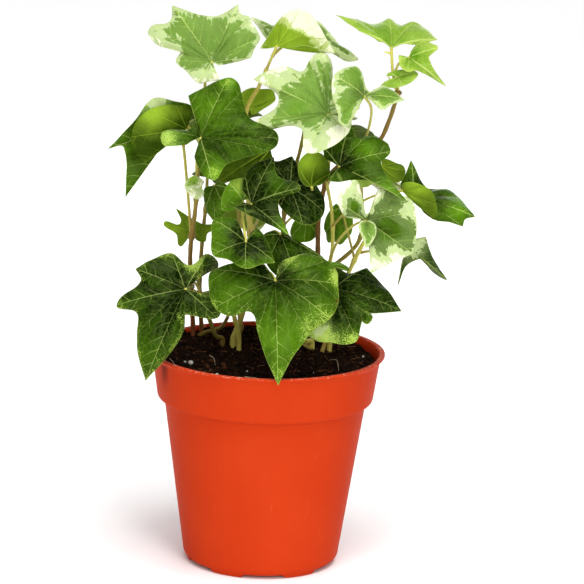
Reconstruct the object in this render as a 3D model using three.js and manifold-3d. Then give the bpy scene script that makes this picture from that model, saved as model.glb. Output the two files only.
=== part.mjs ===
// Potted ivy: variegated leafy vines rooted in a soil-filled round plastic pot.
// Millimetres, +Z up. The origin is on the ground under the middle of the pot, and the front is -Y.
import * as THREE from 'three';
import { mergeVertices } from 'three/addons/utils/BufferGeometryUtils.js';
import Module from 'manifold-3d';

const wasm = await Module();
wasm.setup();
const { Manifold, Mesh: SolidMesh } = wasm;

// ---------------------------------------------------------------- driving dimensions
const POT_HEIGHT = 95.65;
const RIM_RADIUS = 52.5;
const COLLAR_TOP_RADIUS = 50.4;
const COLLAR_FOOT_RADIUS = 47.9;
const COLLAR_FOOT_HEIGHT = 75.3;
const BODY_TOP_RADIUS = 44.8;
const BODY_FOOT_RADIUS = 35.0;
const BODY_FOOT_HEIGHT = 6;
const BASE_RADIUS = 32.9;
const WALL = 1.25;
const FOOT_HEIGHT = 1.3;
const FLOOR_TOP = 3.2;
const FEET = 6;
const FOOT_SPAN = 29;
const FIRST_FOOT_ANGLE = -26.4;
const FOOT_INNER_RADIUS = 27;
const PAD_RADIUS = 9;
const DRAIN_HOLES = 6;
const DRAIN_RADIUS = 3.2;
const DRAIN_CIRCLE = 20;
const DRAIN_SIDES = 10;
const POT_SIDES = 40;

const SOIL_LEVEL = 92.3;
const SOIL_RISE_TO_BACK = 0.045;
const SOIL_FALL_TO_RIGHT = 0.02;
const SOIL_LUMP = 0.55;
const SOIL_CLEARANCE = 0.45;
const ROOT_DEPTH = 12;
const UPRIGHT_ABOVE_SOIL = 4;
const GAP = 0.3;

const BLADE_THICKNESS = 0.66;
const BLADE_ARCH = 0.1;
const BLADE_PUFF = 0.045;
const LOBE_FULLNESS = 0.17;
const DIP_SHARE = 0.42;
const NOTCH_LENGTH = 0.42;
const NOTCH_SPLAY = 0.9;
const EDGE_STEPS = 2;
const INNER_REACH = 0.5;
const STALK_RADIUS = 0.72;
const STALK_SIDES = 4;
const STEM_SIDES = 6;
const HOLE_SIDES = 8;

// ---------------------------------------------------------------- places
// Leaves and stems are placed by how the plant looks from the front. In [x, z, y], x and z are
// where the line of sight meets the upright plane through the pot's axis, and y is the true depth
// behind that plane, so a point in front of it has a negative y.
const EYE_DISTANCE = 1500;
const EYE_PITCH = THREE.MathUtils.degToRad(13.3);
const EYE = new THREE.Vector3(
  10.44,
  -EYE_DISTANCE * Math.cos(EYE_PITCH),
  122.17 + EYE_DISTANCE * Math.sin(EYE_PITCH),
);

const place = ([x, z, y]) => {
  const onPlane = new THREE.Vector3(x, 0, z);
  return onPlane.sub(EYE).multiplyScalar(1 - y / EYE.y).add(EYE);
};

// The point seen at x, z on the plane through three known points.
const placeOnPlane = ([x, z], a, b, c) => {
  const normal = b.clone().sub(a).cross(c.clone().sub(a));
  const sight = new THREE.Vector3(x, 0, z).sub(EYE);
  const along = normal.dot(a.clone().sub(EYE)) / normal.dot(sight);
  return sight.multiplyScalar(along).add(EYE);
};

// ---------------------------------------------------------------- solids
const toSolid = (geometry) => {
  const bare = geometry.clone();
  bare.deleteAttribute('normal');
  bare.deleteAttribute('uv');
  const merged = mergeVertices(bare, 1e-4);
  return new Manifold(new SolidMesh({
    numProp: 3,
    vertProperties: new Float32Array(merged.attributes.position.array),
    triVerts: new Uint32Array(merged.index.array),
  }));
};

const toGeometry = (solid) => {
  const mesh = solid.getMesh();
  const geometry = new THREE.BufferGeometry();
  geometry.setAttribute('position', new THREE.BufferAttribute(mesh.vertProperties, 3));
  geometry.setIndex(new THREE.BufferAttribute(mesh.triVerts, 1));
  return geometry.toNonIndexed();
};

const latheSolid = (profile, sides) => {
  const points = profile.map(([r, z]) => new THREE.Vector2(r, z));
  return toSolid(new THREE.LatheGeometry(points, sides).rotateX(Math.PI / 2));
};

const indexedSolid = (points, faces) => new Manifold(new SolidMesh({
  numProp: 3,
  vertProperties: new Float32Array(points.flatMap((p) => [p.x, p.y, p.z])),
  triVerts: new Uint32Array(faces.flat()),
}));

// A round rod along a smooth curve through the points, thinner towards its end.
const rodSolid = (points, startRadius, endRadius, sides, stepsPerSpan) => {
  const curve = new THREE.CatmullRomCurve3(points, false, 'centripetal');
  const steps = (points.length - 1) * stepsPerSpan;
  const across = new THREE.Vector3(1, 0.35, 0.1);
  const ring = [];
  for (let i = 0; i <= steps; i += 1) {
    const centre = curve.getPoint(i / steps);
    const along = curve.getTangent(i / steps);
    across.addScaledVector(along, -across.dot(along)).normalize();
    const upward = along.clone().cross(across);
    const radius = THREE.MathUtils.lerp(startRadius, endRadius, i / steps);
    for (let j = 0; j < sides; j += 1) {
      const angle = (j / sides) * 2 * Math.PI;
      ring.push(centre.clone()
        .addScaledVector(across, radius * Math.cos(angle))
        .addScaledVector(upward, radius * Math.sin(angle)));
    }
  }
  const faces = [];
  for (let i = 0; i < steps; i += 1) {
    for (let j = 0; j < sides; j += 1) {
      const next = (j + 1) % sides;
      const [a, b] = [i * sides + j, i * sides + next];
      faces.push([a, b, b + sides], [a, b + sides, a + sides]);
    }
  }
  const last = steps * sides;
  for (let j = 1; j < sides - 1; j += 1) {
    faces.push([0, j + 1, j], [last, last + j, last + j + 1]);
  }
  return indexedSolid(ring, faces);
};

// ---------------------------------------------------------------- leaf blade
// A leaf is a base, where its stalk joins, and lobe tips counter-clockwise as its upper face is
// seen. Between two tips the edge dips to a hollow: a number is how far the hollow lies along the
// sum of the two lobes, and a pair is where it shows from the front. Rays run from the base to
// every tip and hollow, with one more at each side of the notch, and the blade is stretched between
// them: a lobe's edge is a cubic curve, and both face and edge arch along the leaf's normal.
const TIP_SIDE = [[1, 0], [0.76, 0.24 + LOBE_FULLNESS], [0.24, 0.8], [0, 1]];
const NOTCH_SIDE = [[1, 0], [0.88, 0.5], [0.45, 1.02], [0, 1]];

const cubic = (control, t) => [0, 1].map((k) => (
  (1 - t) ** 3 * control[0][k]
  + 3 * (1 - t) ** 2 * t * control[1][k]
  + 3 * (1 - t) * t ** 2 * control[2][k]
  + t ** 3 * control[3][k]
));

// Lobes of an even five-lobed leaf by their turn from the middle lobe, their length and their droop.
const FAN = [[-116, 0.6, 0.1], [-58, 0.86, 0.16], [0, 1, 0.22], [58, 0.86, 0.16], [116, 0.6, 0.1]];

const fanSpots = (base, { heading, facing, size }) => {
  const up = new THREE.Vector3(...facing).normalize();
  const ahead = new THREE.Vector3(...heading);
  ahead.addScaledVector(up, -ahead.dot(up)).normalize();
  const right = ahead.clone().cross(up);
  return FAN.map(([turn, length, droop]) => {
    const angle = THREE.MathUtils.degToRad(turn);
    return base.clone()
      .addScaledVector(ahead, Math.cos(angle) * length * size)
      .addScaledVector(right, -Math.sin(angle) * length * size)
      .addScaledVector(up, -droop * size);
  });
};

const leafRays = (leaf) => {
  const base = place(leaf.base);
  const spots = leaf.fan ? fanSpots(base, leaf.fan) : leaf.tips.map(place);
  const lobes = spots.map((tip) => tip.clone().sub(base));
  const normal = new THREE.Vector3();
  for (let k = 0; k + 1 < lobes.length; k += 1) {
    normal.add(lobes[k].clone().cross(lobes[k + 1]));
  }
  normal.normalize();
  const middle = lobes[leaf.middle ?? Math.floor(lobes.length / 2)].clone().normalize();
  const arch = leaf.arch ?? BLADE_ARCH;
  const puff = leaf.puff ?? BLADE_PUFF;
  const notchRay = (side, lobe) => {
    if (leaf.notch) {
      const [first, second] = [lobe, middle].map((ray) => ray.clone().add(base));
      return placeOnPlane(leaf.notch[side], base, first, second).sub(base);
    }
    return lobe.clone().normalize().addScaledVector(middle, -NOTCH_SPLAY).normalize()
      .multiplyScalar(NOTCH_LENGTH * lobe.length());
  };
  const dipRay = (k) => {
    const dip = leaf.dips?.[k] ?? DIP_SHARE;
    if (Array.isArray(dip)) {
      return placeOnPlane(dip, base, spots[k], spots[k + 1]).sub(base);
    }
    return lobes[k].clone().add(lobes[k + 1]).multiplyScalar(dip);
  };
  const rays = [];
  const addRay = (ray, kind) => {
    const lift = kind === 'tip' ? arch : arch + puff;
    rays.push({ ray, kind, rise: ray.length() * lift });
  };
  addRay(notchRay(0, lobes[0]), 'notch');
  lobes.forEach((lobe, k) => {
    addRay(lobe, 'tip');
    if (k + 1 < lobes.length) {
      addRay(dipRay(k), 'dip');
    }
  });
  addRay(notchRay(1, lobes[lobes.length - 1]), 'notch');
  const corners = leaf.smooth ? (leaf.sharp ?? []).map((k) => 2 * k + 1) : null;
  return { base, normal, rays, corners };
};

// A vector of the plane of two rays, in shares of the two.
const sharesOf = (vector, first, second) => {
  const [aa, ab, bb] = [first.dot(first), first.dot(second), second.dot(second)];
  const [va, vb] = [vector.dot(first), vector.dot(second)];
  const scale = aa * bb - ab * ab;
  return [(va * bb - vb * ab) / scale, (vb * aa - va * ab) / scale];
};

// The edge between two rays as a cubic curve, in shares of the two. A smooth blade's edge runs on
// through the end of each ray, and turns only at its sharp tips.
const edgeControl = ({ rays, corners }, side) => {
  const [start, stop] = [rays[side], rays[side + 1]];
  if (!corners) {
    const curve = [start.kind, stop.kind].includes('notch') ? NOTCH_SIDE : TIP_SIDE;
    return start.kind === 'tip' ? curve : [...curve].reverse().map(([a, b]) => [b, a]);
  }
  const origin = new THREE.Vector3();
  const before = side > 0 ? rays[side - 1].ray : origin;
  const after = side + 2 < rays.length ? rays[side + 2].ray : origin;
  const span = stop.ray.clone().sub(start.ray);
  const third = span.length() / 3;
  const leaving = corners.includes(side) ? span.clone() : stop.ray.clone().sub(before);
  const reaching = corners.includes(side + 1) ? span : after.clone().sub(start.ray);
  return [
    [1, 0],
    sharesOf(start.ray.clone().addScaledVector(leaving.normalize(), third), start.ray, stop.ray),
    sharesOf(stop.ray.clone().addScaledVector(reaching.normalize(), -third), start.ray, stop.ray),
    [0, 1],
  ];
};

// A point of the blade's middle face: t runs along the edge from one ray to the next, and reach
// from the base to the edge.
const bladePoint = (shape, side, t, reach) => {
  const { base, normal, rays } = shape;
  const [from, to] = [rays[side], rays[side + 1]];
  const fromTip = from.kind === 'tip';
  const [tip, other] = fromTip ? [from, to] : [to, from];
  const shares = cubic(edgeControl(shape, side), t);
  const [a, b] = fromTip ? shares : [...shares].reverse();
  const share = Math.sin((b / (a + b)) * Math.PI / 2);
  const rise = THREE.MathUtils.lerp(tip.rise, other.rise, share);
  return base.clone()
    .addScaledVector(tip.ray, a * reach)
    .addScaledVector(other.ray, b * reach)
    .addScaledVector(normal, rise * 4 * reach * (1 - reach));
};

// The blade is a fan from the base to one point on each ray, and from there to the finer edge.
const bladeSolid = (leaf) => {
  const shape = leafRays(leaf);
  const steps = EDGE_STEPS;
  const sectors = shape.rays.length - 1;
  const middle = [shape.base.clone()];
  const faces = [];
  const rim = [0, 1];
  for (let side = 0; side <= sectors; side += 1) {
    const [sector, t] = side < sectors ? [side, 0] : [side - 1, 1];
    middle.push(bladePoint(shape, sector, t, INNER_REACH), bladePoint(shape, sector, t, 1));
    rim.push(middle.length - 1);
    if (side < sectors) {
      const inner = middle.length - 2;
      const nextInner = inner + steps + 1;
      faces.push([0, inner, nextInner]);
      for (let step = 1; step <= steps; step += 1) {
        const edge = inner + step;
        const nextEdge = step < steps ? edge + 1 : nextInner + 1;
        const hub = step <= steps / 2 ? inner : nextInner;
        faces.push([hub, edge, nextEdge]);
        if (step === Math.floor(steps / 2)) {
          faces.push([inner, nextEdge, nextInner]);
        }
        if (step < steps) {
          middle.push(bladePoint(shape, side, step / steps, 1));
          rim.push(middle.length - 1);
        }
      }
    }
  }
  rim.push(middle.length - 2);
  const normals = middle.map(() => new THREE.Vector3());
  for (const [a, b, c] of faces) {
    const face = middle[b].clone().sub(middle[a]).cross(middle[c].clone().sub(middle[a]));
    [a, b, c].forEach((i) => normals[i].add(face));
  }
  const half = BLADE_THICKNESS / 2;
  const shifted = (amount) => middle.map((p, i) => (
    p.clone().addScaledVector(normals[i].clone().normalize(), amount)));
  const count = middle.length;
  const sides = rim.flatMap((a, i) => {
    const b = rim[(i + 1) % rim.length];
    return [[a, a + count, b + count], [a, b + count, b]];
  });
  const under = faces.map(([a, b, c]) => [a + count, c + count, b + count]);
  return indexedSolid([...shifted(half), ...shifted(-half)], [...faces, ...under, ...sides]);
};

// ---------------------------------------------------------------- vines
// Each vine: root [x, y] in the soil, the stem's course above it, and its leaves. A leaf's stalk
// leaves the stem at the given place and may bend on its way.
const VINES = [
  {
    name: 'vine_left',
    root: [-33.6, 27],
    stemRadius: [1.25, 0.8],
    stem: [[-34.2, 122, 22], [-34.8, 140, 12], [-33.2, 157, 4], [-32.2, 178, -3], [-31, 198, -6],
      [-30.3, 210, -7]],
    leaves: [
      {
        name: 'crown_left', base: [-27.5, 223.5, -5], stalk: [[-30.3, 210, -7], [-30, 217, -5]],
        tips: [[-10.8, 225.9, -5], [-7, 234.9, -3], [-12.2, 244, 1], [-16.8, 248.8, 4], [-45.3, 247.6, 3],
          [-53.8, 238.6, 0], [-50.6, 229.9, -3], [-43.2, 223.2, -6], [-33.4, 214.2, -9], [-24, 215.6, -9]],
        dips: [[-9, 230.6], [-9.6, 239.6], [-15.8, 245.2], [-27.5, 243.4], [-46.4, 240.6], [-55.4, 234.8],
          [-41.6, 227.8], [-38.6, 219.2], [-29.2, 214.9]],
        notch: [[-24.6, 222.1], [-26.6, 219.6]],
        middle: 3, smooth: true, sharp: [0, 2, 3, 4, 9],
      },
      {
        name: 'left_centre', base: [-31.6, 190, -22], stalk: [[-32.6, 168, 0], [-33, 180, -12]],
        tips: [[-26, 171.4, -30], [-1.6, 185.2, -26], [2.5, 190.6, -24], [-1.8, 195.6, -22],
          [-14.4, 210.6, -15], [-20, 216.8, -12], [-37.4, 208.4, -13], [-47.6, 192.3, -26],
          [-46.8, 185.6, -28]],
        dips: [[-19.6, 178.6], [1.6, 187.4], [1.2, 193.6], [-10.8, 200], [-16, 214.8], [-29, 213.4],
          [-34.6, 195.4], [-49, 188.9]],
        notch: [[-34.2, 181.5], [-37.6, 186.8]],
        middle: 2, smooth: true, sharp: [6],
      },
      {
        name: 'left_fold_back', base: [-41, 196.5, 2],
        stalk: [[-34.6, 146, 9], [-37.2, 171, 3], [-39, 186, 2]],
        tips: [[-35, 203, 3], [-52.6, 206.6, -1], [-71.8, 183.7, -11], [-64, 162.4, -14]],
        dips: [[-43.5, 205.8], [-60.2, 197], [-65, 184.4]],
        notch: [[-37.5, 198.5], [-56.4, 174.6]],
        arch: 0.01, puff: 0, smooth: true, sharp: [2, 3],
      },
      {
        name: 'left_fold_front', base: [-38, 193.5, -4], stalk: [[-39, 186, 2], [-38.7, 190, -1]],
        tips: [[-55.7, 178.2, -16], [-62, 189.2, -15], [-55.4, 201, -8], [-43, 204.2, -3.5]],
        dips: [[-60.7, 183], [-60.2, 195.8], [-49.3, 203.6]],
        notch: [[-48.4, 188.2], [-35.4, 201.6]],
        arch: -0.07, puff: -0.05, smooth: true, sharp: [0],
      },
      {
        name: 'left_bud', base: [-30.8, 168.3, -6], stalk: [[-32.9, 163, 2], [-31, 166, -3]],
        tips: [[-30.6, 171.6, -9], [-36.6, 171.6, -10], [-36.4, 165, -10], [-31.4, 162.6, -9]],
        dips: [[-34, 173], [-38.2, 168.4], [-34, 163]],
        notch: [[-29.6, 170], [-29.4, 165.6]],
        smooth: true,
      },
      {
        name: 'left_low', base: [-33.5, 148, 14], stalk: [[-34.6, 146, 9], [-35.2, 147, 11]],
        tips: [[-39.6, 141.2, 12], [-46.8, 151.6, 12], [-41.6, 158.2, 14], [-23.6, 150.6, 18],
          [-28.6, 143.6, 15]],
        dips: [[-41, 146.4], [-39.6, 151.4], [-30, 151.6], [-27.6, 147.2]],
        notch: [[-36.6, 143.8], [-32.6, 144.6]],
        smooth: true, sharp: [2],
      },
    ],
  },
  {
    name: 'vine_left_back',
    root: [-29.9, 30],
    stemRadius: [1.15, 0.7],
    stem: [[-30.2, 118, 28], [-30, 138, 23], [-29.3, 150, 20], [-28.4, 162, 18], [-28, 178, 16],
      [-26, 192, 18]],
    leaves: [
      {
        name: 'left_dull', base: [-25, 169, 8], stalk: [[-28.6, 158, 18], [-27.5, 166, 14]],
        tips: [[-28.6, 158, 6], [-24.3, 152.8, 4], [-19.5, 158, 3], [-18.5, 168, 8]],
        dips: [0.52, 0.52, 0.52],
        smooth: true,
      },
      {
        name: 'back_left_a', base: [-38, 196, 20], stalk: [[-28, 178, 16], [-33, 189, 18]],
        fan: { heading: [-0.45, 0.75, -0.25], facing: [-0.3, 0.35, 0.9], size: 20 },
      },
      {
        name: 'back_left_b', base: [-24, 205, 24], stalk: [[-26, 192, 18], [-25, 199, 21]],
        fan: { heading: [0.15, 0.9, -0.35], facing: [-0.1, 0.4, 0.9], size: 24 },
      },
      {
        name: 'back_left_low', base: [-43, 122, 36], stalk: [[-30.2, 120, 28], [-36, 123, 31]],
        fan: { heading: [-0.6, 0.6, -0.5], facing: [-0.4, 0.55, 0.75], size: 18 },
      },
    ],
  },
  {
    name: 'vine_centre',
    root: [-15, 13],
    stemRadius: [1.65, 0.75],
    stem: [[-13, 105, 12.5], [-11, 113, 12], [-8.4, 130, 11], [-9, 150, 10], [-11, 175, 8],
      [-12.2, 202, 3], [-6.8, 213.5, 1], [-3.8, 221, 0]],
    leaves: [
      {
        name: 'crown_centre', base: [0.4, 231.4, -2], stalk: [[-3.8, 221, 0], [-1.4, 227, -1]],
        tips: [[-6.8, 230, -7], [0.6, 242.4, -1], [9.5, 247.6, 3], [18, 241.6, 0], [25.8, 229.4, -9]],
        dips: [[-3.4, 235.6], [4.6, 246.2], [14, 246], [21.6, 235.6]],
        notch: [[-3, 230.4], [12, 232.2]],
        middle: 2, arch: 0.16, smooth: true, sharp: [0, 4],
      },
      {
        name: 'crown_centre_far', base: [6, 234, 8], stalk: [[-1.4, 227, -1], [2, 230.5, 3]],
        tips: [[35.2, 226.2, 12], [17.5, 243.5, 16], [2, 241, 22], [-11.3, 243.6, 16], [-4.5, 234.5, 9]],
        dips: [[26.8, 233.8], 0.5, [-3.6, 240.6], 0.5],
        notch: [[20, 231], [1, 233.5]],
        middle: 1, smooth: true,
      },
      {
        name: 'centre_olive', base: [-1, 186, 2], stalk: [[-11.8, 183, 7], [-6, 184, 5]],
        tips: [[-10, 173, -4], [-22.5, 171, -8], [-20, 184, -5], [-10, 190, 0]],
        dips: [0.5, 0.52, 0.55],
        smooth: true,
      },
      {
        name: 'centre_olive_top', base: [-11, 203.5, 8], stalk: [[-12.1, 200, 3.4], [-11.6, 202, 6]],
        tips: [[-14.4, 210, 9], [-6, 212.4, 10], [0.5, 209, 9], [-4, 204, 8]],
        dips: [0.6, 0.6, 0.6],
        smooth: true,
      },
      {
        name: 'centre_front', base: [-8.5, 161, -25],
        stalk: [[-9.2, 148, 10.1], [-5.6, 154, -2], [-6.4, 159.5, -17]],
        tips: [[-16.6, 159.4, -30], [8.6, 147.4, -38], [12.8, 168.8, -28], [0.6, 182.4, -16],
          [-11.6, 174, -18]],
        dips: [[-3.6, 153.6], [3.4, 163], [2.4, 174.4], [-6.4, 179.4]],
        notch: [[-12, 161.6], [-12.6, 167]],
        middle: 1, smooth: true, sharp: [0, 1, 3],
      },
      {
        name: 'centre_light', base: [-12.5, 162.5, -16], stalk: [[-9.7, 155, 9.6], [-11, 160, -4]],
        tips: [[-10.6, 172.2, -13], [-18.6, 170.4, -18], [-21.8, 158.4, -20], [-15.6, 158.4, -20]],
        dips: [[-15, 172.3], [-21.4, 164.6], 0.6],
        middle: 1, smooth: true,
      },
    ],
  },
  {
    name: 'vine_right',
    root: [22.3, 33],
    stemRadius: [1.35, 0.85],
    stem: [[22, 118, 28], [21.3, 138, 22], [21.4, 160, 16], [26, 176, 8], [36, 184.5, 4], [46.2, 191, 1],
      [50.2, 200, -1], [52.3, 207, -2], [53.8, 213, -3]],
    leaves: [
      {
        name: 'crown_right', base: [50.1, 232.3, -2],
        stalk: [[53.8, 213, -3], [51.4, 220, -3], [50.4, 228, -3]],
        tips: [[69.9, 236.4, 0], [59.6, 243.6, 12], [48.4, 245, 15], [25.6, 246, 8], [37.6, 238.4, -3]],
        dips: [[65, 241.2], [53.6, 242.6], [41.5, 242.8], [33.4, 241]],
        notch: [[59, 233.8], [44.6, 234.8]],
        middle: 2, smooth: true, sharp: [0, 2, 3],
      },
      {
        name: 'lime_young', base: [57.8, 228.3, -6], stalk: [[51.4, 220, -3], [54, 226, -5]],
        tips: [[53.4, 227.5, -8], [57.5, 221.8, -9], [74.4, 216.2, -12], [70.2, 233, -5],
          [62.6, 235.4, -1]],
        dips: [[54.4, 224], [62, 222.6], [66.6, 228.2], [67, 235]],
        notch: [[53.6, 229.2], [58.6, 231]],
        middle: 2, smooth: true, sharp: [0, 2],
      },
      {
        name: 'young_low', base: [53.4, 219.4, -6], stalk: [[53.8, 213, -3], [53.6, 216.5, -5]],
        tips: [[46, 215.6, -9], [55.6, 215.6, -10], [61.8, 221.8, -6], [49.4, 221.4, -5]],
        dips: [[51, 214.6], [60.4, 218.4], [55, 222.9]],
        notch: [[48, 217.4], [48.6, 219.6]],
        smooth: true, sharp: [0],
      },
      {
        name: 'right_twin', base: [39.2, 210.6, -24],
        stalk: [[38.5, 186.5, 3], [41.6, 197, -6], [42.2, 206, -18]],
        tips: [[47.2, 204.8, -29], [56.8, 209.6, -23], [47.4, 215.8, -18], [36.4, 222.8, -17],
          [25.4, 219, -24], [28, 202.6, -30], [32, 197.2, -31]],
        dips: [[50.4, 206.8], [52.2, 213.2], [41, 212.6], [31, 223], [25.2, 211.4], [28.4, 199.2]],
        notch: [[43, 208], [35.2, 203.4]],
        middle: 3, smooth: true, sharp: [1, 2],
      },
      {
        name: 'right_centre', base: [23.6, 202.2, -15],
        stalk: [[24.5, 173, 10], [25, 188, 0], [24.5, 198, -10]],
        tips: [[37.4, 205.6, -12], [24.8, 223.6, -7], [19.6, 228.8, -6], [14.7, 225.4, -8],
          [4.2, 222.4, -10], [-9.2, 216.8, -15], [-8.8, 197.6, -18], [-3.4, 194.4, -20],
          [14.6, 184.8, -26], [32.8, 194, -24]],
        dips: [[25.6, 218], [22.8, 227.6], [16.6, 228], [11.8, 220.8], [-3.6, 220.2], [2, 207.8],
          [-7, 194.8], [11.4, 195.8], [25, 187.4]],
        notch: [[34, 202.4], [33.4, 200.2]],
        middle: 2, smooth: true, sharp: [0, 5, 6],
      },
      {
        name: 'right_dark', base: [29.5, 179, -20], stalk: [[24, 171, 11], [27, 175, -4]],
        tips: [[25.4, 172.4, -24], [59.4, 164.6, -36], [51.4, 186.8, -22], [41.3, 193.4, -16],
          [33.6, 199.6, -13], [21.3, 189, -14]],
        dips: [[42.6, 173.4], [47.6, 180.6], [48.6, 191], [36.6, 192], [28.4, 191.4]],
        notch: [[25.4, 176], [23.4, 182]],
        middle: 1, smooth: true, sharp: [1, 4, 5],
      },
      {
        name: 'right_small', base: [38.8, 176, -8], stalk: [[30, 180.4, 6.2], [34, 179, -2]],
        tips: [[34.2, 174.2, -9], [39.4, 170.2, -10], [44.8, 173, -9]],
        dips: [[36.4, 171.6], [42.6, 170.8]],
        smooth: true, sharp: [2],
      },
      {
        name: 'right_olive', base: [47.6, 180.4, 9], stalk: [[36, 184.4, 4], [42, 183, 8]],
        tips: [[54.6, 181.4, 13], [58.4, 178.2, 11], [56.2, 173.4, 9], [48, 173.6, 8]],
        dips: [[57, 180.6], [57.8, 175.4], [52.4, 172.8]],
        smooth: true, sharp: [1],
      },
    ],
  },
  {
    name: 'vine_right_front',
    root: [20, 16],
    stemRadius: [1.35, 0.7],
    stem: [[16.5, 100, 12], [15.5, 106, 9], [20, 118, 6], [25, 130, 4], [27.4, 141, 4], [26.8, 158, 2],
      [24, 172, -4]],
    leaves: [
      {
        name: 'right_cream', base: [42, 155.6, -31],
        stalk: [[25, 131, 4], [30, 146, -12], [37, 153.4, -24]],
        tips: [[45, 131.8, -38], [63, 141.2, -36], [63.4, 160.4, -31], [55.4, 167.8, -29],
          [46.8, 169.8, -29], [37.6, 173, -33], [29.2, 163.6, -36]],
        dips: [[54.4, 137.2], [64.2, 151], [61.4, 165.2], [50.8, 170.4], [41.4, 158.6], [31.6, 170.2]],
        notch: [[44.6, 145.4], [33.6, 156.4]],
        middle: 2, smooth: true, sharp: [0, 1],
      },
      {
        name: 'right_cream_curl', base: [41.7, 155.1, -30.7],
        tips: [[38.6, 152.4, -37], [42.2, 143, -40], [46.6, 151.6, -37]],
        dips: [[40.4, 147.6], [45.6, 146.8]],
        notch: [[39.6, 154.8], [45.2, 154.4]],
        arch: 0.2, smooth: true,
      },
      {
        name: 'right_flap_under', base: [57.5, 169.4, -8],
        stalk: [[26.9, 152, 3], [34, 160, -4], [46, 167, -6]],
        tips: [[57.6, 172.8, -11], [66.4, 172, -13], [72.6, 163.6, -14], [71.9, 157, -15]],
        dips: [[61.6, 173.3], [70.6, 169], [73, 160.2]],
        notch: [[56.8, 171.2], [65.4, 162]],
        arch: -0.05, puff: -0.05, smooth: true, sharp: [3],
      },
      {
        name: 'right_far', base: [62, 166, -2], stalk: [[46, 167, -6], [55, 166.5, -4]],
        tips: [[73, 156.6, -6], [84.4, 154, -6], [89.6, 158.6, -4], [82.4, 167, 3], [72.8, 170.6, 5],
          [60.6, 183.4, 2], [56.2, 171.8, -2]],
        dips: [[79, 155.8], [85.4, 157.4], [86.4, 162.6], [78, 170.2], [67.4, 171.4], [58.2, 176.6]],
        notch: [[66.6, 160], [57.6, 168.6]],
        middle: 2, smooth: true, sharp: [1, 2, 5],
      },
    ],
  },
  {
    name: 'vine_front',
    root: [-12.4, 8],
    stemRadius: [1.2, 0.8],
    stem: [[-13, 104, 7], [-14.8, 111, 4], [-13, 122, -4], [-9, 134, -8], [-7, 146, -6], [-10.8, 159, -8]],
    leaves: [
      {
        name: 'front_big', base: [3, 127, -34],
        stalk: [[-12.4, 125, -5], [-6, 131, -15], [0.5, 130.5, -27]],
        tips: [[-24.6, 131, -30], [-23.4, 113.8, -41], [-15.2, 110.4, -43], [-4.2, 103.6, -47],
          [5.6, 79.6, -56], [18.4, 102.6, -48], [27.6, 110.4, -44], [30.6, 126.4, -33],
          [25.6, 136.6, -27], [13.6, 139.4, -25]],
        dips: [[-26.2, 121.6], [-19.6, 110.8], [-7.2, 112.4], [-0.6, 92.6], [11.8, 92.4], [22.6, 107],
          [31, 117.6], [29.8, 132.6], [19.4, 139.2]],
        notch: [[-2, 134.2], [4.2, 134.6]],
        middle: 4, smooth: true, sharp: [4],
      },
      {
        name: 'front_big_curl', base: [25.4, 134.8, -27.7],
        tips: [[29.8, 133.4, -25], [35.3, 132.2, -22], [33.6, 135.2, -22], [28.4, 136.4, -24]],
        dips: [[32.4, 132.9], [35.2, 133.8], [31.2, 136.2]],
        middle: 1, smooth: true, sharp: [1],
      },
      {
        name: 'front_bright', base: [-10.5, 144, -33],
        stalk: [[-10.8, 159, -8], [-12.4, 157.5, -20], [-11.3, 149, -30]],
        tips: [[-14.6, 153.4, -28], [-25.2, 153.4, -29], [-24.8, 137.4, -37], [-10.5, 132.4, -45],
          [2.6, 134.9, -42], [-5.4, 150.2, -28]],
        dips: [[-20, 155], [-25.7, 146], [-18, 135.6], [-3.4, 134.2], [-0.6, 143.4]],
        notch: [[-12, 147.6], [-8.6, 148]],
        middle: 3, smooth: true, sharp: [4],
      },
      {
        name: 'front_behind', base: [4.6, 148, -13],
        stalk: [[-8, 140, -7.4], [-3, 146, -8], [2, 149.4, -11]],
        tips: [[-3.2, 147, -14], [-1, 134, -20], [14, 124, -24], [24.6, 137, -19], [8.6, 147.8, -13]],
        dips: [0.5, [5, 128], [20, 130], [12.3, 143.4]],
        middle: 2, smooth: true,
      },
    ],
  },
  {
    name: 'vine_front_left',
    root: [-20, 12],
    stemRadius: [1.2, 0.75],
    stem: [[-22.4, 101, 9], [-25, 107, 4], [-29, 117, -6], [-31.5, 128, -9]],
    leaves: [
      {
        name: 'front_left', base: [-36.6, 121.8, -26],
        stalk: [[-29.6, 119, -7], [-32, 124.5, -13], [-35.4, 124, -21]],
        tips: [[-27.4, 138, -17], [-43.1, 138, -19], [-58.8, 130.2, -24], [-66.8, 113.6, -30],
          [-57.6, 101, -35], [-53.2, 79.4, -42], [-36.6, 103.6, -36], [-22.4, 109.2, -32]],
        dips: [[-35, 132.8], [-52, 134.6], [-56.4, 125], [-58, 110.6], [-57, 92], [-44, 90.6],
          [-38.8, 109.8]],
        notch: [[-22.6, 132], [-21.6, 117]],
        middle: 5, smooth: true, sharp: [2, 5],
      },
      {
        name: 'low_left', base: [-37, 120, 2], stalk: [[-28, 114, -3.5], [-32, 119, -1]],
        fan: { heading: [-0.7, 0.1, -0.5], facing: [-0.4, -0.2, 0.9], size: 13 },
      },
    ],
  },
  {
    name: 'vine_front_right',
    root: [28, 14],
    stemRadius: [1.3, 0.8],
    stem: [[28.6, 103, 10], [29.5, 110, 4], [32, 122, 0], [36, 134, -2], [42, 147, -6], [50, 160, 2]],
    leaves: [
      {
        name: 'front_right', base: [28.8, 124, -24],
        stalk: [[31, 118, 1], [30, 123, -10], [29, 125, -18]],
        tips: [[16.6, 104.6, -36], [29, 100, -40], [39.6, 101.4, -42], [43, 113.4, -38],
          [59.2, 114.6, -34], [43, 134.4, -19], [27, 134.5, -15]],
        dips: [[21.6, 101], [35, 99.4], [41.4, 107.6], [48.8, 113.4], [52.6, 124.4], [35, 131.8]],
        notch: [[19, 112], [22, 128]],
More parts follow.
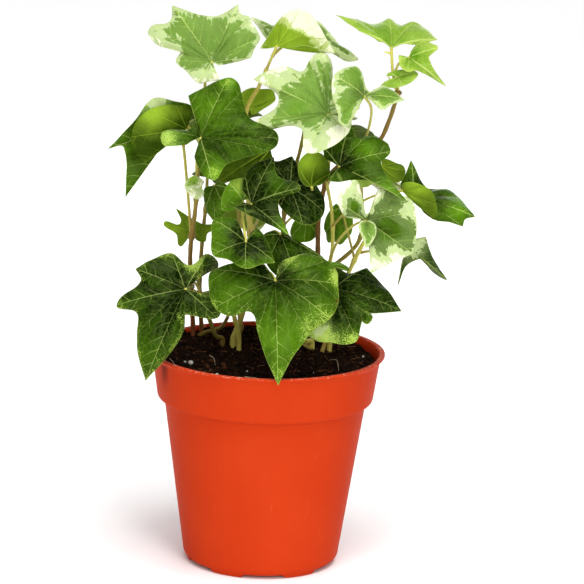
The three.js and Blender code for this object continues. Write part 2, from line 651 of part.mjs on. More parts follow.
        middle: 3, smooth: true, sharp: [4, 5],
      },
      {
        name: 'front_right_flap', base: [41.6, 114.4, -36.9],
        tips: [[41.4, 111.2, -40], [43.8, 108.5, -41], [46.4, 112.4, -40]],
        dips: [[42, 109.6], [45.8, 109.8]],
        notch: [[41.2, 113.4], [44.4, 114.3]],
        smooth: true,
      },
      {
        name: 'back_right_round', base: [31, 161, 20],
        stalk: [[37.6, 137.6, -3], [34, 150, 9], [32, 157, 15]],
        tips: [[25, 158, 22], [24.6, 149, 21], [28, 145.6, 19], [34, 147.5, 17], [36, 156, 16]],
        dips: [0.6, 0.58, 0.58, 0.6],
        smooth: true,
      },
      {
        name: 'right_droop', base: [60, 143.5, -10],
        stalk: [[40, 141, -4.5], [48, 142.5, -7], [55, 143, -9]],
        tips: [[56.8, 126.4, -14], [67.6, 139, -16], [78.8, 129.6, -20], [68.4, 149, -6], [60, 147.6, -4]],
        dips: [[60.8, 136], [72, 133.4], [71.6, 140.4], [64, 148]],
        notch: [[58.4, 137.6], [58.4, 146]],
        smooth: true, sharp: [0, 2, 3],
      },
    ],
  },
  {
    name: 'vine_middle',
    root: [4, 19],
    stemRadius: [1.2, 0.75],
    stem: [[4.5, 104, 19], [5, 122, 18], [5.5, 140, 14], [6, 158, 8], [8.5, 172, 5], [12, 186, 7],
      [14, 198, 12]],
    leaves: [
      {
        name: 'centre_dark', base: [8, 169, -14], stalk: [[6.4, 160, 7], [7, 165, -3], [7.6, 168.5, -9]],
        tips: [[4, 160.5, -22], [14.2, 152.6, -26], [23.4, 158.4, -20], [19.5, 170.6, -12],
          [8.6, 183.4, -8], [-1, 180.4, -9]],
        dips: [[8.4, 156], [19.6, 153.4], [23, 165], [12.6, 177], [3, 181]],
        notch: [[3, 164], [2, 172]],
        middle: 1, smooth: true, sharp: [3, 4],
      },
      {
        name: 'centre_round', base: [17.6, 169.6, -18],
        stalk: [[9.6, 177, 6], [17, 171.6, -6], [17.8, 167.6, -14]],
        tips: [[12.6, 172.6, -19], [11.8, 181, -18], [21.4, 184.6, -11], [25.2, 175.6, -12]],
        dips: [[11.2, 177], [16, 185.2], [24.8, 180.6]],
        notch: [[15.2, 169.8], [21.4, 170.6]],
        arch: 0.2, smooth: true,
      },
      {
        name: 'middle_olive', base: [16, 156, 24], stalk: [[5.8, 152, 10], [10, 156, 17]],
        tips: [[10.6, 154.5, 24], [9.4, 147, 23], [15, 144.8, 22], [20.6, 148.2, 23], [20.4, 155.5, 24]],
        dips: [0.6, 0.55, 0.55, 0.6],
        smooth: true,
      },
      {
        name: 'back_middle_top', base: [18, 206, 22], stalk: [[14, 198, 12], [16, 204, 17]],
        fan: { heading: [0.15, 0.85, -0.3], facing: [0.05, 0.35, 0.95], size: 24 },
      },
      {
        name: 'back_middle', base: [5, 170, 30], stalk: [[6, 158, 8], [5, 167, 20]],
        fan: { heading: [0.1, 0.9, -0.35], facing: [0, 0.4, 0.9], size: 17 },
      },
    ],
  },
  {
    name: 'vine_back_right',
    root: [13.5, 35],
    stemRadius: [1.2, 0.75],
    stem: [[14, 108, 35.5], [15, 118, 36], [19, 127, 36], [27.5, 134, 30], [39, 146, 24], [40, 160, 22],
      [38, 176, 22], [34, 188, 24]],
    leaves: [
      {
        name: 'back_right_top', base: [33, 196, 28], stalk: [[34, 188, 24], [33.5, 193, 26]],
        fan: { heading: [0.3, 0.8, -0.35], facing: [0.1, 0.45, 0.9], size: 22 },
      },
      {
        name: 'back_right_mid', base: [44, 178, 28], stalk: [[38.6, 172, 22], [42, 177, 24]],
        fan: { heading: [0.5, 0.75, -0.35], facing: [0.3, 0.4, 0.9], size: 20 },
      },
      {
        name: 'back_right_side', base: [52, 152, 20], stalk: [[39, 148, 23.6], [46, 152, 21]],
        fan: { heading: [0.5, 0.75, -0.4], facing: [0.5, 0.35, 0.8], size: 19 },
      },
      {
        name: 'back_right_low', base: [37, 124, 36],
        stalk: [[16.5, 121, 36.4], [26, 123, 38], [33, 124.5, 37]],
        fan: { heading: [0.3, 0.85, -0.4], facing: [0.2, 0.5, 0.85], size: 17 },
      },
    ],
  },
  {
    name: 'vine_back_left',
    root: [-12, 34],
    stemRadius: [1.2, 0.75],
    stem: [[-12, 108, 34], [-13, 122, 34], [-14, 138, 32], [-14, 156, 30], [-16, 172, 32]],
    leaves: [
      {
        name: 'back_left_mid', base: [-18, 180, 38], stalk: [[-16, 172, 32], [-17, 177, 35]],
        fan: { heading: [-0.25, 0.85, -0.4], facing: [-0.1, 0.45, 0.9], size: 22 },
      },
      {
        name: 'back_left_inner', base: [-10, 160, 44], stalk: [[-14, 146, 31], [-12, 156, 38]],
        fan: { heading: [0.1, 0.85, -0.45], facing: [0, 0.5, 0.85], size: 22 },
      },
      {
        name: 'back_low', base: [-2, 124, 44], stalk: [[-12.4, 114, 34], [-8, 122, 39]],
        fan: { heading: [0.05, 0.85, -0.5], facing: [0, 0.55, 0.8], size: 24 },
      },
      {
        name: 'back_left_side', base: [-24, 120, 50], stalk: [[-12.8, 119, 34], [-18, 120, 43]],
        fan: { heading: [-0.25, 0.8, -0.5], facing: [-0.1, 0.55, 0.8], size: 15 },
      },
    ],
  },
];

const soilTop = (x, y) => {
  const lumps = Math.sin(0.31 * x + 1.3) * Math.sin(0.27 * y + 0.4) + 0.6 * Math.sin(0.61 * x - 0.53 * y);
  return SOIL_LEVEL + SOIL_RISE_TO_BACK * y - SOIL_FALL_TO_RIGHT * x + SOIL_LUMP * lumps;
};

const makeVine = ({ root, stemRadius, stem, leaves }) => {
  const [x, y] = root;
  const level = soilTop(x, y);
  const upright = [level - ROOT_DEPTH, level, level + UPRIGHT_ABOVE_SOIL]
    .map((z) => new THREE.Vector3(x, y, z));
  const course = [...upright, ...stem.map(place)];
  const pieces = [rodSolid(course, ...stemRadius, STEM_SIDES, 1)];
  for (const leaf of leaves) {
    pieces.push(bladeSolid(leaf));
    if (leaf.stalk) {
      const way = [...leaf.stalk, leaf.base].map(place);
      pieces.push(rodSolid(way, STALK_RADIUS * 1.1, STALK_RADIUS, STALK_SIDES, way.length > 3 ? 1 : 2));
    }
  }
  const [whole] = Manifold.union(pieces).decompose().sort((a, b) => b.volume() - a.volume());
  return whole;
};

// ---------------------------------------------------------------- pot
const POT_OUTSIDE = [
  [PAD_RADIUS, 0], [PAD_RADIUS + 0.7, FOOT_HEIGHT], [BASE_RADIUS, FOOT_HEIGHT],
  [BASE_RADIUS + 1.2, 2.3], [BASE_RADIUS + 1.85, 3.9], [BODY_FOOT_RADIUS, BODY_FOOT_HEIGHT],
  [BODY_TOP_RADIUS, COLLAR_FOOT_HEIGHT - 1.4],
  [COLLAR_FOOT_RADIUS - 0.5, COLLAR_FOOT_HEIGHT - 0.9], [COLLAR_FOOT_RADIUS, COLLAR_FOOT_HEIGHT],
  [COLLAR_TOP_RADIUS, POT_HEIGHT - 3.05], [COLLAR_TOP_RADIUS + 0.6, POT_HEIGHT - 1.9],
  [RIM_RADIUS, POT_HEIGHT - 0.75], [RIM_RADIUS, POT_HEIGHT],
];
const POT_INSIDE = [
  [BASE_RADIUS - 1.2, FLOOR_TOP], [BODY_FOOT_RADIUS - WALL, BODY_FOOT_HEIGHT + 1],
  [BODY_TOP_RADIUS - WALL, COLLAR_FOOT_HEIGHT - 0.4], [COLLAR_FOOT_RADIUS - WALL, COLLAR_FOOT_HEIGHT + 0.9],
  [COLLAR_TOP_RADIUS - WALL, POT_HEIGHT - 2], [COLLAR_TOP_RADIUS - WALL + 0.9, POT_HEIGHT],
];

const turned = (solid, degrees) => solid.rotate([0, 0, degrees]);

const footSolid = () => {
  const shape = new THREE.Shape();
  const half = THREE.MathUtils.degToRad(FOOT_SPAN / 2);
  const front = -Math.PI / 2;
  shape.absarc(0, 0, BASE_RADIUS - 0.15, front - half, front + half, false);
  shape.absarc(0, 0, FOOT_INNER_RADIUS, front + half, front - half, true);
  shape.closePath();
  return toSolid(new THREE.ExtrudeGeometry(shape, {
    depth: FOOT_HEIGHT + 0.6, bevelEnabled: false, curveSegments: 3,
  }));
};

const makePot = () => {
  const profile = [[0, 0], ...POT_OUTSIDE, ...[...POT_INSIDE].reverse(), [0, FLOOR_TOP]];
  const shell = latheSolid(profile, POT_SIDES);
  const foot = footSolid();
  const feet = Array.from({ length: FEET }, (_, i) => turned(foot, FIRST_FOOT_ANGLE + (i * 360) / FEET));
  const drill = toSolid(new THREE.CylinderGeometry(DRAIN_RADIUS, DRAIN_RADIUS, 4 * FLOOR_TOP, DRAIN_SIDES)
    .rotateX(Math.PI / 2)
    .translate(0, -DRAIN_CIRCLE, 0));
  const holes = Array.from({ length: DRAIN_HOLES }, (_, i) => turned(drill, (i * 360) / DRAIN_HOLES));
  return Manifold.union([shell, ...feet]).subtract(Manifold.union(holes));
};

// ---------------------------------------------------------------- soil
const insideRadius = (z) => {
  const wall = POT_INSIDE;
  for (let i = 0; i + 1 < wall.length; i += 1) {
    const [[r0, z0], [r1, z1]] = [wall[i], wall[i + 1]];
    if (z <= z1) {
      return THREE.MathUtils.mapLinear(z, z0, z1, r0, r1);
    }
  }
  return wall[wall.length - 1][0];
};

const makeSoil = () => {
  const sides = POT_SIDES;
  const points = [];
  const ringAt = (radius, height) => {
    for (let j = 0; j < sides; j += 1) {
      const angle = (j / sides) * 2 * Math.PI;
      const [x, y] = [radius * Math.cos(angle), radius * Math.sin(angle)];
      points.push(new THREE.Vector3(x, y, height(x, y)));
    }
  };
  for (const [radius, z] of POT_INSIDE.slice(0, 4)) {
    ringAt(radius - SOIL_CLEARANCE, () => z + SOIL_CLEARANCE);
  }
  const edge = insideRadius(SOIL_LEVEL - 4) - SOIL_CLEARANCE;
  ringAt(edge, soilTop);
  ringAt(edge / 2, soilTop);
  const rings = points.length / sides;
  const faces = [];
  for (let i = 0; i + 1 < rings; i += 1) {
    for (let j = 0; j < sides; j += 1) {
      const next = (j + 1) % sides;
      const [a, b] = [i * sides + j, i * sides + next];
      faces.push([a, b, b + sides], [a, b + sides, a + sides]);
    }
  }
  const floor = points.length;
  points.push(new THREE.Vector3(0, 0, FLOOR_TOP + SOIL_CLEARANCE));
  points.push(new THREE.Vector3(0, 0, soilTop(0, 0)));
  const last = (rings - 1) * sides;
  for (let j = 0; j < sides; j += 1) {
    const next = (j + 1) % sides;
    faces.push([floor, next, j], [floor + 1, last + j, last + next]);
  }
  const holes = VINES.map(({ root: [x, y], stemRadius }) => {
    const radius = (stemRadius[0] + GAP) / Math.cos(Math.PI / HOLE_SIDES);
    const hole = new THREE.CylinderGeometry(radius, radius, 2 * (ROOT_DEPTH + GAP), HOLE_SIDES);
    return toSolid(hole.rotateX(Math.PI / 2).translate(x, y, soilTop(x, y)));
  });
  return indexedSolid(points, faces).subtract(Manifold.union(holes));
};

// ---------------------------------------------------------------- the plant in its pot
const finish = (color, roughness) => new THREE.MeshStandardMaterial({ color, roughness, metalness: 0 });
const POT_FINISH = finish(0xe04a1f, 0.45);
const SOIL_FINISH = finish(0x1c120c, 1);
const LEAF_FINISH = finish(0x3f6f22, 0.4);

const plant = new THREE.Group();
const addPiece = (name, solid, material) => {
  const mesh = new THREE.Mesh(toGeometry(solid), material);
  mesh.name = name;
  plant.add(mesh);
};

addPiece('pot', makePot(), POT_FINISH);
addPiece('soil', makeSoil(), SOIL_FINISH);
for (const vine of VINES) {
  addPiece(vine.name, makeVine(vine), LEAF_FINISH);
}

export default plant;
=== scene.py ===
# Potted ivy: the fine surface of the vines, the pot and the soil. Millimetres, turned into metres
# where a mesh is made. The front is -Y.
import math

import bpy
import numpy as np
from mathutils import Matrix


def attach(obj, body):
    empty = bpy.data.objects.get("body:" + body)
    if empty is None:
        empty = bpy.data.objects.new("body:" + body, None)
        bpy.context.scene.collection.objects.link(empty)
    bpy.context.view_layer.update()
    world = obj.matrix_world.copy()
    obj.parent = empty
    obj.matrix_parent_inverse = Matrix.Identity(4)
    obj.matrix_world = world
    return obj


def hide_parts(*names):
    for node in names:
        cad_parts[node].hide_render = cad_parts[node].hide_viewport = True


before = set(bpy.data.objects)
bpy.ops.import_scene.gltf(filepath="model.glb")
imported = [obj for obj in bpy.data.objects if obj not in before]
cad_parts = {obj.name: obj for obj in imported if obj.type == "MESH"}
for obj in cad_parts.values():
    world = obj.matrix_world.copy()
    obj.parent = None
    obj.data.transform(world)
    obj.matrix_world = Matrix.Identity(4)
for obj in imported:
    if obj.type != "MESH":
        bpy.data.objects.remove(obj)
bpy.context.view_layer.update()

MM = 0.001
SEED = 20
FULL_TURN = 2 * math.pi

# ---------------------------------------------------------------- driving dimensions
POT_HEIGHT = 95.65
RIM_RADIUS = 52.5
COLLAR_TOP_RADIUS = 50.4
COLLAR_FOOT_RADIUS = 47.9
COLLAR_FOOT_HEIGHT = 75.3
BODY_TOP_RADIUS = 44.8
BODY_FOOT_RADIUS = 35.0
BODY_FOOT_HEIGHT = 6
BASE_RADIUS = 32.9
WALL = 1.25
FOOT_HEIGHT = 1.3
FLOOR_TOP = 3.2
FEET = 6
FOOT_SPAN = 29
FOOT_END_SLOPE = 1.4
FIRST_FOOT_ANGLE = -26.4
FOOT_INNER_RADIUS = 27
PAD_RADIUS = 9
DRAIN_HOLES = 6
DRAIN_RADIUS = 3.2
DRAIN_CIRCLE = 20
EDGE_ROUNDING = 0.5
POT_SIDES, DRAIN_SIDES = 180, 32
LONGEST_POT_STEP = 3.5
# Where the painted shadow of a leaf tip, a dark streak on the collar's left, begins and is full: from its
# left, its right, its back, its foot and its top.
PAINTED_SHADOW_LEFT, PAINTED_SHADOW_RIGHT, PAINTED_SHADOW_BACK = (-46.4, -44.3), (-41.5, -43.9), (-6.0, -13.0)
PAINTED_SHADOW_FOOT, PAINTED_SHADOW_TOP = (80.0, 92.0), (95.0, 92.5)
CRUST = (POT_HEIGHT - 0.9, POT_HEIGHT - 0.3)

SOIL_LEVEL = 92.3
SOIL_RISE_TO_BACK = 0.045
SOIL_FALL_TO_RIGHT = 0.02
SOIL_LUMP = 0.55
SOIL_CLEARANCE = 0.45
SOIL_RINGS, SOIL_SIDES = 110, 260
CRUMBS, FIBRES = 1500, 70
CRUMB_SIZE, FIBRE_LENGTH, FIBRE_RADIUS = (0.35, 0.75), (1.5, 4.5), (0.06, 0.13)
PEAT_SHARE = 0.8
ROOT_DEPTH = 12
UPRIGHT_ABOVE_SOIL = 4

BLADE_HALF = 0.2
BLADE_ARCH = 0.1
BLADE_PUFF = 0.045
LOBE_FULLNESS = 0.17
DIP_SHARE = 0.42
NOTCH_LENGTH = 0.42
NOTCH_SPLAY = 0.9
SIDE_VEIN_SLANT = 0.75
SIDE_VEIN_CURVE = 0.03
SIDE_VEIN_SPACING = 5.0
TOOTH_VEIN = 0.5
SIDE_VEIN_STEP, SIDE_VEIN_STEP_BY_SIZE = 3.0, 0.07
GROOVE_DEPTH, GROOVE_WIDTH = 0.12, 0.8
QUILT_HEIGHT = 0.16
WAVE_HEIGHT, SWELL_HEIGHT = 0.32, 0.3
WAVE_LENGTHS = ((7, 11), (13, 20), (22, 34))
SWELL_RATE = (0.08, 0.2)
# Leaves under these sizes have shallower grooves, quilting and waves.
FULL_GROOVE_SIZE, FULL_QUILT_SIZE, FULL_WAVE_SIZE = 25, 30, 32
# A blade's thickness at its very edge, as a share, and how fast it grows inward.
EDGE_SHARE, EDGE_WIDTH = 0.25, 1.2
# A blade's steps along the edge of each side of a lobe, and from its base to its edge, where they crowd.
LARGE_LEAF = 20
LARGE_GRID, SMALL_GRID = (10, 18), (7, 12)
EDGE_CROWDING = 1.25
# These keep the random numbers of the leaves, and of each leaf's lobes, apart.
LEAF_STRIDE, LOBE_STRIDE = 3.1, 7.3

STEM_SIDES, EXTRA_SIDES, STALK_SIDES = 12, 10, 8
STEM_STEP, EXTRA_STEP = 1.2, 0.6
NODE_SWELL, NODE_REACH = 0.42, 1.5
STALK_RADIUS = 0.6624
STALK_ENDS, STALK_END_REACH = (0.35, 0.25), 0.06
USUAL_BARK = (0.75, 0.25, 0.3, 0.5)
STALK_WOOD, STALK_RED, STALK_TONE = -0.2, 0.35, 0.7
LEAF_CREASE, SOIL_CREASE, POT_CREASE = 55, 60, 40

# The camera is also where the leaves' places are read from: in [x, z, y], x and z are where the line
# of sight meets the upright plane through the pot's axis, and y is the true depth behind that plane.
EYE_DISTANCE = 1500
EYE_PITCH = math.radians(13.3)
EYE_ROLL = math.radians(1.86)
EYE_TARGET = np.array([10.44, 0, 122.17])
EYE_BACK = np.array([0, -math.cos(EYE_PITCH), math.sin(EYE_PITCH)])
EYE = EYE_TARGET + EYE_DISTANCE * EYE_BACK
SENSOR = 36
LENS = SENSOR * 3402 / 584
NEAREST, FARTHEST = 0.05, 20
HORIZON_LIGHT, ZENITH_LIGHT, ZENITH_FROM = 0.17, 0.4, 0.8
# The overhead light is wide and even, and reaches the whole floor.
OVERHEAD_PLACE, OVERHEAD_BACK, OVERHEAD_POWER, OVERHEAD_SPREAD = (0, -600, 2000), (0.1, -0.35, 1.0), 2.25, 40
FLOOR_SIZE, FLOOR_LEVEL = 6, -0.0002
# Each panel of light: where it hangs, what it faces, its width and height, and its power.
PANELS = {
    "key": ((300, -820, 420), (0, 0, 100), (260, 640), 3.6),
    "fill": ((-330, -790, 420), (0, 0, 110), (220, 640), 1.8),
    "back": ((160, 880, 480), (0, 0, 110), (640, 640), 2.4),
}

# ---------------------------------------------------------------- the plant
VINES = {}


def vine(name, **form):
    """A vine: its root on the soil, its radii at the foot and the top, and its stem's course. bark is how
    woody it is at the foot and at the top, how red and how bright. extras are more pieces of stem, each a
    course, two radii, and how woody, red and bright it is."""
    VINES[name] = dict(form, leaves={})


def leaf(name, base, stalk, **form):
    """A leaf of the last vine: its blade's base, its stalk's course or none, and the blade's outline. That
    is the tips of its lobes, the dips between them (a place, or a share of the two lobes beside it) and
    the two sides of the notch at the base, or else a fan of lobes (heading, facing, size).
    middle is the number of the lobe opposite the notch. teeth are the tips with a faint main vein, and
    sharp ones end in a corner. arch and puff lift the blade along its veins and between them, and wave
    is its share of the usual waves.
    tone is how bright it is, and cream and lime how much it has of those. rim and lime_rim add cream and
    lime at the margin (amount, width). spots add to a place (x, z, radius, cream, lime, tone, burnt); on
    some leaves a spot's tone is painted light, a highlight where it is raised and painted shade where it
    is lowered."""
    list(VINES.values())[-1]["leaves"][name] = dict(form, base=base, stalk=stalk)


vine("vine_left", root=(-33.6, 27), radii=(1.25, 0.8), bark=(0.2, 0.3, 1.5, 0.4), stem=[(-34.2, 122, 22),
    (-34.8, 140, 12), (-33.2, 157, 4), (-32.2, 178, -3), (-31, 198, -6), (-30.3, 210, -7)])
leaf("crown_left", (-27.5, 223.5, -5), [(-30.3, 210, -7), (-30, 217, -5)], tips=[(-10.8, 225.9, -5),
    (-7, 234.9, -3), (-12.2, 244, 1), (-16.8, 248.8, 4), (-45.3, 247.6, 3), (-53.8, 238.6, 0),
    (-50.6, 229.9, -3), (-43.2, 223.2, -6), (-33.4, 214.2, -9), (-24, 215.6, -9)], dips=[(-9, 230.6),
    (-9.6, 239.6), (-15.8, 245.2), (-27.5, 243.4), (-46.4, 240.6), (-55.4, 234.8), (-41.6, 227.8),
    (-38.6, 219.2), (-29.2, 214.9)], notch=[(-24.6, 222.1), (-26.6, 219.6)], middle=3, teeth=(0, 2, 5, 7, 9),
    sharp=(0, 2, 3, 4, 9), tone=0.42, cream=0.17, rim=(0.2, 1.7), spots=[(-52, 233, 6, 0.26),
    (-44, 224, 3.5, 0.2), (-33, 216.5, 5, 0.24), (-25, 216.5, 4, 0.24), (-16.5, 245, 5, 0.26),
    (-10, 238, 3.5, 0.16), (-28, 232, 9, -0.08, 0, -0.02), (-18, 230, 6, -0.06)])
leaf("left_centre", (-31.6, 190, -22), [(-32.6, 168, 0), (-33, 180, -12)], tips=[(-26, 171.4, -30),
    (-1.6, 185.2, -26), (2.5, 190.6, -24), (-1.8, 195.6, -22), (-14.4, 210.6, -15), (-20, 216.8, -12),
    (-37.4, 208.4, -13), (-47.6, 192.3, -26), (-46.8, 185.6, -28)], dips=[(-19.6, 178.6), (1.6, 187.4),
    (1.2, 193.6), (-10.8, 200), (-16, 214.8), (-29, 213.4), (-34.6, 195.4), (-49, 188.9)],
    notch=[(-34.2, 181.5), (-37.6, 186.8)], middle=2, teeth=(1, 3, 4, 7, 8), sharp=(6,), tone=0.1, lime=0.06,
    spots=[(-46, 189, 5, 0.1, 0.55, 0.45), (-20, 214.5, 3.5, 0, 0.35, 0.3), (-25, 174, 4.5, 0, 0.4, 0.35),
    (-27, 201, 9, 0, 0, 0.2), (0, 191, 5, 0, 0, -0.12)])
leaf("left_fold_back", (-41, 196.5, 2), [(-34.6, 146, 9), (-37.2, 171, 3), (-39, 186, 2)],
    tips=[(-35, 203, 3), (-52.6, 206.6, -1), (-71.8, 183.7, -11), (-64, 162.4, -14)], dips=[(-43.5, 205.8),
    (-60.2, 197), (-65, 184.4)], notch=[(-37.5, 198.5), (-56.4, 174.6)], arch=0.01, puff=0.0, sharp=(2, 3),
    tone=0.12, lime=0.02, lime_rim=(0.2, 2.0), spots=[(-52, 205, 5, 0.45, 0.4, 0.45),
    (-38, 202, 4, 0, 0, 0.2), (-68, 182, 5, 0, 0, 0.15)])
# This folded leaf's tone spots are painted light: a painted highlight near its top and painted shade lower
# down.
leaf("left_fold_front", (-38, 193.5, -4), [(-39, 186, 2), (-38.7, 190, -1)], tips=[(-55.7, 178.2, -16),
    (-62, 189.2, -15), (-55.4, 201, -8), (-43, 204.2, -3.5)], dips=[(-60.7, 183), (-60.2, 195.8),
    (-49.3, 203.6)], notch=[(-48.4, 188.2), (-35.4, 201.6)], arch=-0.07, puff=-0.05, sharp=(0,), tone=0.1,
    spots=[(-52, 200.5, 7, 0, 0, 0.65), (-57, 185, 7, 0, 0, -0.2), (-43, 193, 7, 0, 0, -0.1)])
leaf("left_bud", (-30.8, 168.3, -6), [(-32.9, 163, 2), (-31, 166, -3)], tips=[(-30.6, 171.6, -9),
    (-36.6, 171.6, -10), (-36.4, 165, -10), (-31.4, 162.6, -9)], dips=[(-34, 173), (-38.2, 168.4),
    (-34, 163)], notch=[(-29.6, 170), (-29.4, 165.6)], wave=0, tone=0.62, cream=0.62, lime=0.15,
    spots=[(-34.4, 171.2, 2.2, -0.9), (-37, 168.4, 1.4, -0.3)])
# The tone spot on the left lobe is a painted highlight.
leaf("left_low", (-33.5, 148, 14), [(-34.6, 146, 9), (-35.2, 147, 11)], tips=[(-39.6, 141.2, 12),
    (-46.8, 151.6, 12), (-41.6, 158.2, 14), (-23.6, 150.6, 18), (-28.6, 143.6, 15)], dips=[(-41, 146.4),
    (-39.6, 151.4), (-30, 151.6), (-27.6, 147.2)], notch=[(-36.6, 143.8), (-32.6, 144.6)], sharp=(2,),
    tone=0.42, spots=[(-45, 150, 5, 0, 0, 0.35)])

vine("vine_left_back", root=(-29.9, 30), radii=(1.15, 0.7), bark=(0.2, 0.15, 1.3, 0.45),
    stem=[(-30.2, 118, 28), (-30, 138, 23), (-29.3, 150, 20), (-28.4, 162, 18), (-28, 178, 16),
    (-26, 192, 18)], extras=[([(-30, 101, 29), (-27, 102.6, 26), (-24.5, 103.5, 23), (-20, 105.5, 18),
    (-17.5, 110, 14)], (1.0, 0.8), (0.55, 0.2, 0.5))])
leaf("left_dull", (-25, 169, 8), [(-28.6, 158, 18), (-27.5, 166, 14)], tips=[(-28.6, 158, 6),
    (-24.3, 152.8, 4), (-19.5, 158, 3), (-18.5, 168, 8)], dips=[0.52, 0.52, 0.52], tone=0.22, lime=0.15)
leaf("back_left_a", (-38, 196, 20), [(-28, 178, 16), (-33, 189, 18)], fan=((-0.45, 0.75, -0.25),
    (-0.3, 0.35, 0.9), 20), tone=0.3, cream=0.1, rim=(0.35, 2.5))
leaf("back_left_b", (-24, 205, 24), [(-26, 192, 18), (-25, 199, 21)], fan=((0.15, 0.9, -0.35),
    (-0.1, 0.4, 0.9), 24), tone=0.2, lime=0.1)
leaf("back_left_low", (-43, 122, 36), [(-30.2, 120, 28), (-36, 123, 31)], fan=((-0.6, 0.6, -0.5),
    (-0.4, 0.55, 0.75), 18), tone=0.15, lime=0.15)

vine("vine_centre", root=(-15, 13), radii=(1.65, 0.75), bark=(0.05, 0.45, 0.25, 1.3), stem=[(-13, 105, 12.5),
    (-11, 113, 12), (-8.4, 130, 11), (-9, 150, 10), (-11, 175, 8), (-12.2, 202, 3), (-6.8, 213.5, 1),
    (-3.8, 221, 0)], extras=[([(-12.6, 202.4, 3), (-13.4, 204.2, 2), (-14, 205.4, 1.6)], (1.0, 0.45),
    (-0.4, 1.4, 0.9))])
leaf("crown_centre", (0.4, 231.4, -2), [(-3.8, 221, 0), (-1.4, 227, -1)], tips=[(-6.8, 230, -7),
    (0.6, 242.4, -1), (9.5, 247.6, 3), (18, 241.6, 0), (25.8, 229.4, -9)], dips=[(-3.4, 235.6), (4.6, 246.2),
    (14, 246), (21.6, 235.6)], notch=[(-3, 230.4), (12, 232.2)], middle=2, arch=0.16, sharp=(0, 4), tone=0.6,
    cream=0.36, spots=[(10, 246, 8, 0.7), (19, 240, 6.5, 0.5), (6, 231, 8, -0.5), (25, 230, 4, 0.4),
    (1, 238, 5, -0.2, 0, 0.1)])
leaf("crown_centre_far", (6, 234, 8), [(-1.4, 227, -1), (2, 230.5, 3)], tips=[(35.2, 226.2, 12),
    (17.5, 243.5, 16), (2, 241, 22), (-11.3, 243.6, 16), (-4.5, 234.5, 9)], dips=[(26.8, 233.8), 0.5,
    (-3.6, 240.6), 0.5], notch=[(20, 231), (1, 233.5)], middle=1, tone=0.3, cream=0.14, rim=(0.4, 1.4))
leaf("centre_olive", (-1, 186, 2), [(-11.8, 183, 7), (-6, 184, 5)], tips=[(-10, 173, -4), (-22.5, 171, -8),
    (-20, 184, -5), (-10, 190, 0)], dips=[0.5, 0.52, 0.55], tone=0.1)
leaf("centre_olive_top", (-11, 203.5, 8), [(-12.1, 200, 3.4), (-11.6, 202, 6)], tips=[(-14.4, 210, 9),
    (-6, 212.4, 10), (0.5, 209, 9), (-4, 204, 8)], dips=[0.6, 0.6, 0.6], tone=0.7)
leaf("centre_front", (-8.5, 161, -25), [(-9.2, 148, 10.1), (-5.6, 154, -2), (-6.4, 159.5, -17)],
    tips=[(-16.6, 159.4, -30), (8.6, 147.4, -38), (12.8, 168.8, -28), (0.6, 182.4, -16), (-11.6, 174, -18)],
    dips=[(-3.6, 153.6), (3.4, 163), (2.4, 174.4), (-6.4, 179.4)], notch=[(-12, 161.6), (-12.6, 167)],
    middle=1, sharp=(0, 1, 3), tone=-0.02, lime=0.04, spots=[(8, 151, 5, 0, 0.2, 0.4),
    (2, 172, 5, 0, 0, 0.14)])
# Its tone spots are painted light: a painted sheen at the upper right and slight painted shade lower left.
leaf("centre_light", (-12.5, 162.5, -16), [(-9.7, 155, 9.6), (-11, 160, -4)], tips=[(-10.6, 172.2, -13),
    (-18.6, 170.4, -18), (-21.8, 158.4, -20), (-15.6, 158.4, -20)], dips=[(-15, 172.3), (-21.4, 164.6), 0.6],
    middle=1, tone=0.36, spots=[(-12, 170, 5, 0, 0, 0.6), (-17, 161, 5, 0, 0, -0.1)])

vine("vine_right", root=(22.3, 33), radii=(1.35, 0.85), bark=(0.8, 0.6, 1.2, 0.2), stem=[(22, 118, 28),
    (21.3, 138, 22), (21.4, 160, 16), (26, 176, 8), (36, 184.5, 4), (46.2, 191, 1), (50.2, 200, -1),
    (52.3, 207, -2), (53.8, 213, -3)], extras=[([(50.4, 229.5, -2), (48.6, 230.2, -3.5), (47.2, 230.4, -4)],
    (0.55, 0.25), (-0.4, 0.1, 1.0)), ([(52.6, 214.4, -3), (50.6, 217.2, -5), (49.4, 219.4, -5.5)],
    (0.6, 0.25), (-0.4, 0.1, 0.9))])
leaf("crown_right", (50.1, 232.3, -2), [(53.8, 213, -3), (51.4, 220, -3), (50.4, 228, -3)],
    tips=[(69.9, 236.4, 0), (59.6, 243.6, 12), (48.4, 245, 15), (25.6, 246, 8), (37.6, 238.4, -3)],
    dips=[(65, 241.2), (53.6, 242.6), (41.5, 242.8), (33.4, 241)], notch=[(59, 233.8), (44.6, 234.8)],
    middle=2, sharp=(0, 2, 3), tone=0.66, lime=0.08, lime_rim=(0.5, 0.7), spots=[(30, 244, 5, 0, 0, 0.15)])
leaf("lime_young", (57.8, 228.3, -6), [(51.4, 220, -3), (54, 226, -5)], tips=[(53.4, 227.5, -8),
    (57.5, 221.8, -9), (74.4, 216.2, -12), (70.2, 233, -5), (62.6, 235.4, -1)], dips=[(54.4, 224),
    (62, 222.6), (66.6, 228.2), (67, 235)], notch=[(53.6, 229.2), (58.6, 231)], middle=2, sharp=(0, 2),
    tone=0.7, lime=0.3, lime_rim=(0.3, 1.0), spots=[(60, 230, 5, 0, -0.2, -0.15)])
leaf("young_low", (53.4, 219.4, -6), [(53.8, 213, -3), (53.6, 216.5, -5)], tips=[(46, 215.6, -9),
    (55.6, 215.6, -10), (61.8, 221.8, -6), (49.4, 221.4, -5)], dips=[(51, 214.6), (60.4, 218.4),
    (55, 222.9)], notch=[(48, 217.4), (48.6, 219.6)], sharp=(0,), tone=0.66, lime=0.15, lime_rim=(0.3, 0.8))
